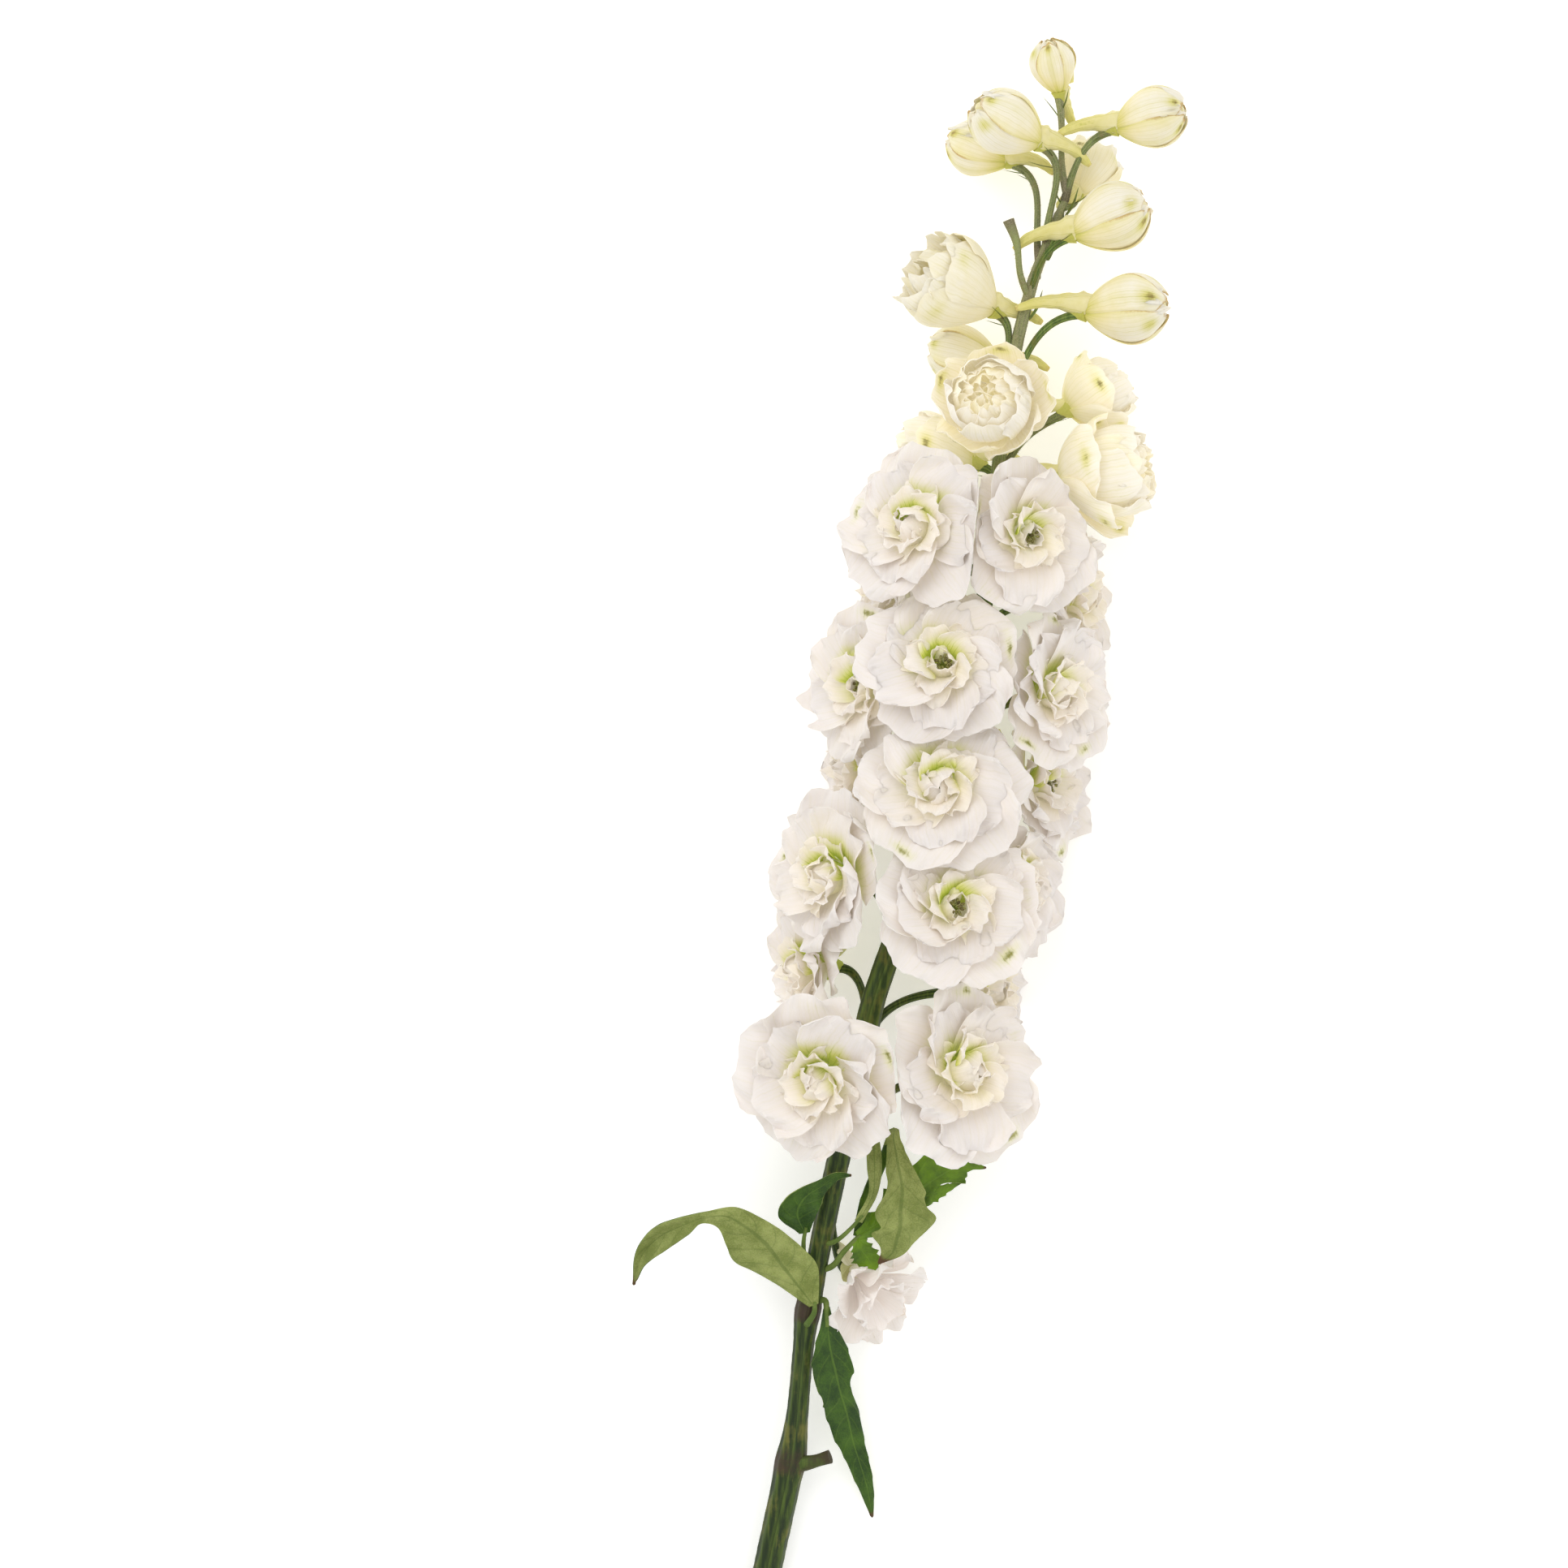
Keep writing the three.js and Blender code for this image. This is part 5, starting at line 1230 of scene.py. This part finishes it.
# %% Rims and midribs
# A blade is a list of rows of nine numbers: three for its left rim, three for its midrib and three for its
# right rim. teeth is how many a rim has in half its length, and deep is their depth, or one for each blade.
# downy is 1 where the downy face lies up. bright and brown are the shares of yellow-green and of brown.
LEAVES = {
    "arched": dict(
        stalk=[[-32.2, -141, 22.7], [-30.7, -138.5, 23.3], [-30.4, -134.5, 23.9]], radius=1,
        teeth=2, deep=0.02, downy=1.0, bright=0.25, brown=0.25,
        blades=[[
            [-32.1, -136.3, 23.6, -30.7, -135.7, 23.9, -29.3, -135.1, 23.7],
            [-40.7, -130.4, 24.2, -35.2, -130, 25.6, -29, -127.7, 26.2],
            [-50, -124.9, 25.5, -41.2, -122.1, 28.4, -30.5, -121.2, 28.6],
            [-56.1, -121.2, 28, -46.3, -115.1, 32.4, -38, -113.7, 31.6],
            [-58.9, -115.6, 32, -52.8, -109.6, 35.8, -46.3, -107.7, 34],
            [-61.6, -110, 35.2, -58.9, -106.3, 37.2, -56.1, -103.5, 35.8],
            [-66, -108.6, 36, -64.9, -106.6, 37, -64, -104.6, 36.6],
            [-71.4, -112.6, 35.6, -73.2, -109.6, 33.8, -75.1, -107.2, 36],
            [-77.9, -117.4, 31.8, -80.6, -113.6, 28.8, -82.5, -110.9, 32],
            [-84.6, -122.4, 25.8, -86, -119.8, 24, -87.6, -117.9, 26],
            [-88.3, -129.2, 18.4, -88.8, -129.6, 18.2, -89.2, -129.1, 18.4],
        ]]),
    "hanging": dict(
        stalk=[[-27, -134.6, 20], [-26.6, -138.5, 20.6], [-26.4, -143, 20.6]], radius=1,
        teeth=5, deep=0.07, downy=0.0, bright=0.1, brown=0.2,
        blades=[[
            [-25.7, -136.4, 20.2, -26.6, -136.8, 20.7, -27.6, -137.2, 20.4],
            [-24.5, -140.7, 20.2, -26.3, -141.4, 20.7, -28.4, -142.2, 20.6],
            [-21.2, -147.2, 18.9, -25.6, -149, 20.4, -30.4, -149.9, 20.8],
            [-17.9, -157.4, 16.6, -23.6, -157.8, 18.2, -30.8, -159.2, 19.6],
            [-18.9, -161.2, 16.4, -22.5, -162.8, 17.4, -28.2, -166.2, 18.4],
            [-16.2, -170.5, 12.8, -19.9, -171.8, 14.2, -27.3, -170.2, 16.4],
            [-14.2, -181.5, 10.2, -18, -180.6, 11.4, -24, -179.9, 12.6],
            [-12.9, -186.6, 8.6, -16.2, -186.4, 9.4, -21.6, -184.4, 10.6],
            [-11.2, -196.4, 5.4, -13.3, -196.4, 6.2, -16.6, -195.4, 7],
            [-11.4, -205.6, 2.6, -11.7, -206.1, 2.7, -12.2, -205.4, 2.8],
        ]]),
    "palmate": dict(
        stalk=[[-24.9, -123.5, 20.5], [-21.4, -119, 23], [-15.8, -113, 24.2]], radius=0.95,
        teeth=3, deep=[0.42, 0.34, 0.34, 0.13], downy=0.0, bright=0.85, brown=0.15,
        blades=[[
            [-17.4, -112.2, 24.6, -16.6, -113.4, 24.3, -15.8, -114.6, 24.6],
            [-15, -109.4, 24.9, -12.8, -111.2, 24.4, -10.8, -113.2, 24.8],
            [-8.6, -101.5, 25, -5, -105.5, 24, -1.5, -109, 24.6],
            [-2, -91, 25.4, 4, -98, 24, 6.5, -103.3, 23.6],
            [6, -88.5, 24.6, 9.6, -94.4, 23.6, 10.4, -96.9, 23.4],
            [14.4, -86.4, 23.6, 14.2, -91.8, 23, 18.9, -95.4, 21.6],
            [20.4, -89.4, 21.8, 19.2, -91.3, 21.6, 18.4, -92.8, 21.4],
            [24.7, -91.4, 19.4, 24.9, -91.8, 19.3, 24.5, -92.1, 19.4],
        ], [
            [-0.8, -100.4, 24, 0.2, -101.8, 24, 1.4, -103, 24.1],
            [6.6, -97.4, 23.5, 7.2, -100, 23.6, 8.2, -102.6, 23.2],
            [11.7, -96.9, 22.6, 12, -98.2, 22.4, 12.4, -99.6, 22],
            [17.3, -95.9, 20.4, 17.5, -96.2, 20.3, 17.2, -96.5, 20.4],
        ], [
            [-15.2, -113, 24.4, -16.6, -114.2, 24.2, -18, -115.4, 24],
            [-13, -115.4, 24.6, -15.6, -117.4, 24.4, -18.4, -118.8, 24.1],
            [-9.8, -119.4, 24.6, -13.2, -120.8, 24.2, -17.6, -122.2, 23.6],
            [-10, -124.3, 22.8, -10.3, -124.8, 22.7, -10.8, -124.6, 22.8],
        ], [
            [-18, -113.2, 24.2, -16.6, -113.6, 24, -15.2, -114, 24.2],
            [-17, -107, 22, -15.3, -107.2, 21.6, -13.6, -107.4, 22],
            [-14.5, -98.5, 18.8, -12.5, -98.5, 18.2, -10.5, -98.5, 18.6],
            [-8.8, -86.5, 17.8, -7, -86, 17.4, -5.2, -86, 17.8],
            [-6.6, -79.6, 22.4, -5, -79, 22.6, -3.4, -79.4, 22.4],
            [-7.2, -83.2, 29, -5, -82.6, 30, -2.8, -83, 29],
            [-7.4, -90, 31, -3.8, -89.8, 33, 0.4, -89.6, 31],
            [-7.6, -98.5, 31.6, -2.4, -98, 34.6, 4.4, -98.6, 32],
            [-10.7, -105.8, 32, -3, -105, 35.4, 5.7, -103.6, 32.4],
            [-9, -110.2, 33.2, -3.2, -109.6, 35.4, 8.4, -107.6, 31.2],
            [-12.2, -112.3, 31.6, -4.2, -114, 34.2, 3, -113.5, 32],
            [-9.4, -116.4, 32.2, -5.2, -117.6, 33, -1, -118.2, 32],
            [-10.2, -121.6, 31, -9.8, -122, 31, -9.2, -121.7, 31],
        ]]),
    "curled": dict(
        stalk=[[-33.5, -119.5, 21.5], [-34, -115.5, 24], [-33.2, -110.5, 26.4]], radius=0.8,
        teeth=2, deep=0.03, downy=0.1, bright=0.2, brown=0.1,
        blades=[[
            [-35.4, -112.6, 25.4, -33.7, -112.4, 25.5, -32, -112, 25.4],
            [-42.2, -106.5, 29.5, -36, -105.5, 27.8, -30.2, -107, 29.4],
            [-39.5, -100.5, 31.5, -33.5, -100.6, 29.8, -28.4, -102.8, 30.6],
            [-29.8, -95.4, 32, -28.4, -97.2, 31.2, -26.8, -99, 31.6],
            [-23.2, -92.6, 31.8, -22.8, -93.6, 31.4, -22.4, -94.8, 31.6],
            [-18.8, -93.2, 30, -18.7, -93.6, 30, -18.8, -94, 30],
        ]]),
    "strip": dict(
        stalk=[[-23.6, -115, 25.2], [-19, -111, 27.6], [-15, -106.5, 28.6]], radius=0.75,
        teeth=1, deep=0.02, downy=0.7, bright=0.4, brown=0.25,
        blades=[[
            [-17.6, -108.2, 28.2, -16.4, -108.6, 28.3, -15.2, -109, 28.2],
            [-12.9, -98.6, 28.6, -11.6, -99, 29.4, -10.4, -99.4, 28.6],
            [-13.4, -91, 28, -11.2, -91.4, 29.5, -8.9, -91.8, 28.5],
            [-13.6, -84, 26.5, -11.4, -84, 28, -9.6, -84, 27],
            [-11.9, -78, 25.5, -11.5, -77.6, 25.6, -11.1, -78, 25.5],
        ]]),
}
print("blades of each leaf:", {name: len(leaf["blades"]) for name, leaf in LEAVES.items()})


# %% The blade of a leaf
CURLED_LOBE = ("palmate", 3)  # the lobe that curls back, downy side out


def blade_sheet(rows, teeth, deep, seed, count, columns):
    """A point at share b from the midrib is the midrib, plus b times half the way from rim to rim, plus
    |b|^1.35 times how far the rims together stand off the midrib. The rim moves out along each tooth by the
    square of its share and falls back over the last sixth, and the blade is pressed along curved veins that
    run from the midrib to the rim."""
    left, middle, right = np.moveaxis(through(rows, count), 1, 0)
    a = np.linspace(0, 1, count)[:, None]
    side = np.linspace(-1, 1, columns)
    b = 0.7 * side + 0.3 * np.sin(np.pi / 2 * side)
    saw = (teeth * 2 * a + 0.3 * np.sign(b) + chance(seed, 3)) % 1
    saw = np.where(saw < 5 / 6, (1.2 * saw)**2, 6 * (1 - saw))
    tooth = 1 + deep * (saw - 0.35) * smooth(0.5, 1, np.abs(b)) * smooth(0, 0.12, a) * smooth(1, 0.9, a)
    b = b * tooth
    half, stand = 0.5 * (right - left), 0.5 * (left + right) - middle
    sheet = middle[:, None] + b[..., None] * half[:, None] + (np.abs(b)**1.35)[..., None] * stand[:, None]
    normal = unit(np.cross(np.gradient(sheet, axis=0), np.gradient(sheet, axis=1)))
    wide = np.linalg.norm(half, axis=1)[:, None]
    veins = np.cos(2 * np.pi * (count / 9 * a - 1.3 * np.abs(b)**1.4 + chance(seed, 5)))
    press = 0.16 * veins * np.abs(b) * (1 - np.abs(b)) * 4 + 0.35 * np.exp(-(b / 0.08)**2)
    buckle = 0.5 * np.sin(2 * np.pi * (2.1 * a + 0.8 * b + chance(seed, 7))) * b * b
    lift = (press + buckle) * np.minimum(wide / 8, 1) * smooth(0, 0.1, a) * smooth(1, 0.93, a)
    return sheet + lift[..., None] * normal, a + 0 * b, b


def leaf_shares(name, blade, leaf, a, b, upper):
    """Downy, yellow-green and brown shares for one face of a blade."""
    downy, bright = leaf["downy"] if upper else 1 - leaf["downy"], leaf["bright"]
    brown = leaf["brown"] * smooth(0.55, 1, np.abs(b)) * smooth(0.4, 1, a) + 0.9 * smooth(0.94, 1.0, a)
    if (name, blade) == CURLED_LOBE:
        downy, bright = np.where(a > 0.36, 0.85, 0.1), 0.5
        brown = brown + 0.42 * np.exp(-((a - 0.72 - 0.03 * b) / 0.03)**2) + 0.3 * smooth(0.8, 1, a)
    return np.stack(np.broadcast_arrays(downy, bright, brown, 0.0), axis=-1).reshape(-1, 4)


def leaf_finish():
    """Dark green above with paler veins. The downy underside is grey olive with darker veins. Yellow-green
    clouds some leaves more than others, and tips and rims turn brown."""
    def build(start, place):
        (downy, bright, brown, _), (across, along, own) = shares_of(start)
        cloud = noise(start, place, 0.14, 4.0)
        fine = noise(start, place, 2.4, 4.0)
        aside = across.math("ABSOLUTE")
        slant = along * 9.0 - (aside ** 1.4) * 1.3 + own
        side_veins = slant.ridge() ** 14 * aside.ramp(0.02, 0.2)
        net = (start.node("ShaderNodeTexVoronoi", {"feature": "DISTANCE_TO_EDGE"}, {
            "Vector": place, "Scale": 0.75}) * 9.0).ramp(1.0, 0.0)
        midrib = aside.ramp(0.1, 0.03)
        veins = (side_veins * 0.8 + midrib + net * 0.18).math("MINIMUM", 1.0)
        above = (cloud + (fine - 0.5) * 0.4).ramp(0.3, 0.7).blend(paint(36, 64, 18), paint(66, 98, 26))
        above = (bright * (cloud * 1.5 + 0.05)).ramp(0.2, 0.95).blend(above, paint(112, 148, 22))
        above = (veins * 0.3).blend(above, paint(118, 150, 56))
        below = (cloud + (fine - 0.5) * 0.6).ramp(0.3, 0.75).blend(paint(118, 130, 64), paint(158, 167, 98))
        below = (veins * 0.5).blend(below, paint(84, 104, 42))
        colour = (downy + (cloud - 0.5) * 0.2).ramp(0.35, 0.65).blend(above, below)
        worn = brown + (fine - 0.5) * 0.5 + (cloud - 0.5) * 0.3
        colour = worn.ramp(0.4, 0.9).blend(colour, paint(88, 64, 40))
        height = veins * (0.9 - downy * 0.3) + fine * (0.25 + downy * 0.6)
        return {"Base Color": colour, "Roughness": 0.42 + downy * 0.35 + fine * 0.12,
                "Normal": bump(start, 0.45, 0.0004, height)}

    return finish("leaf_skin", build, Specular_IOR_Level=0.3, Subsurface_Weight=0.15,
                  Subsurface_Radius=(0.6, 1.0, 0.3), Subsurface_Scale=0.0008)


LEAF_SKIN = leaf_finish()
print("finish:", LEAF_SKIN.name)


# %% Dress the leaves
ROWS_BETWEEN, LEAF_COLUMNS = 12, 25  # grid rows for each row of the table, and grid columns


def dress_leaf(name, leaf):
    """Its blades, and a stalk that starts inside the stem."""
    skin, middle = Skin(), LEAF_COLUMNS // 2
    for number, rows in enumerate(leaf["blades"]):
        rows = np.reshape(rows, (-1, 3, 3))
        deep = np.broadcast_to(leaf["deep"], len(leaf["blades"]))[number]
        sheet, a, b = blade_sheet(rows, leaf["teeth"], deep, number + len(name), ROWS_BETWEEN * len(rows),
                                  LEAF_COLUMNS)
        points, faces = shell(sheet, 0.55 + 0.5 * np.exp(-(b / 0.1)**2) * (1 - 0.8 * a))
        facing_up = np.cross(sheet[1, middle] - sheet[0, middle], sheet[0, -1] - sheet[0, 0])[2] > 0
        colours = [leaf_shares(name, number, leaf, a, b, upper == facing_up) for upper in (True, False)]
        measures = np.stack([b, a * len(rows) / 9, np.full_like(a, 0.37 * number)], axis=-1).reshape(-1, 3)
        skin.add(points, faces, shares=np.concatenate(colours), measures=np.tile(measures, (2, 1)))
    inside = stem_centre(leaf["stalk"][0][1] - 1.5)
    path, t = through([inside, *leaf["stalk"]], 22), np.linspace(0, 1, 22)
    skin.add(*tube(path, leaf["radius"] * (1.25 - 0.55 * t), 10), shares=(0.5, 0.4, 0.1, 0))
    skin.piece("blade_" + name, LEAF_SKIN, "leaf", "leaf_" + name)


for name, leaf in LEAVES.items():
    dress_leaf(name, leaf)
print("triangles in the leaves:", sum(n for name, n in TALLY.items() if name.startswith("blade_")))


# %% [markdown]
# ## Bench, light and camera
#
# White flowers need light from all around, or their folds turn grey. The bench is a pale sheet. A pale sky
# fills every side, and two large soft lamps above the spike give its petals their shape. The lens is long
# and looks straight down, so that the flowers keep their proportions.

# %% The bench
BENCH_HALF = 4.0  # half its width, in metres


def bench_finish():
    """Matt near-white, with the faintest mottling of smooth board."""
    def build(start, place):
        speck = noise(start, place, 0.4, 3.0)
        colour = speck.blend(paint(253, 253, 252), paint(250, 250, 249))
        return {"Base Color": colour, "Emission Color": colour, "Roughness": speck * 0.05 + 0.9}

    return finish("bench", build, Emission_Strength=0.3)


mesh = bpy.data.meshes.new("bench")
corners = [(x * BENCH_HALF, y * BENCH_HALF, 0) for x, y in ((-1, -1), (1, -1), (1, 1), (-1, 1))]
mesh.from_pydata(corners, [], [(0, 1, 2, 3)])
mesh.materials.append(bench_finish())
bench = add_object("bench", mesh)
print("bench:", 2 * BENCH_HALF, "m wide")


# %% Light
SKY_COLOUR, SKY_STRENGTH = (1.0, 0.995, 0.985, 1), 0.78


def lamp(name, at, size, power):
    """A soft square lamp that points from its place to the middle of the bench."""
    light = bpy.data.lights.new(name, "AREA")
    light.size, light.energy = size, power
    holder = add_object(name, light)
    holder.location = at
    x, y, z = -np.array(at)
    holder.rotation_euler = (math.acos(-z / np.linalg.norm(at)), 0, math.atan2(y, x) - math.pi / 2)


lamp("key", (-0.6, 0.8, 1.5), 1.4, 9.5)
lamp("fill", (0.9, -0.3, 1.4), 1.6, 4)
scene = bpy.context.scene
scene.world = bpy.data.worlds.new("studio")
scene.world.use_nodes = True
sky = scene.world.node_tree.nodes["Background"].inputs
sky["Color"].default_value = SKY_COLOUR
sky["Strength"].default_value = SKY_STRENGTH
scene.view_settings.view_transform = "Standard"
print("lamps:", [light.name for light in bpy.data.lights])

# %% Camera
VIEW_CENTRE, VIEW_WIDTH, VIEW_HEIGHT = (-0.0403, 0.032), 0.5023, 2.4
BLOOM_HEIGHT = 0.035  # where the view is as wide as VIEW_WIDTH
SENSOR = 36  # the width of the camera's sensor, in millimetres
camera = bpy.data.cameras.new("overhead")
camera.lens = SENSOR * (VIEW_HEIGHT - BLOOM_HEIGHT) / VIEW_WIDTH
camera.clip_end = 20
overhead = add_object("overhead", camera)
overhead.location = (*VIEW_CENTRE, VIEW_HEIGHT)
scene.camera = overhead
print("lens:", round(camera.lens), "mm")

# %% Sizes, and the end
print("triangles:", sum(TALLY.values()))
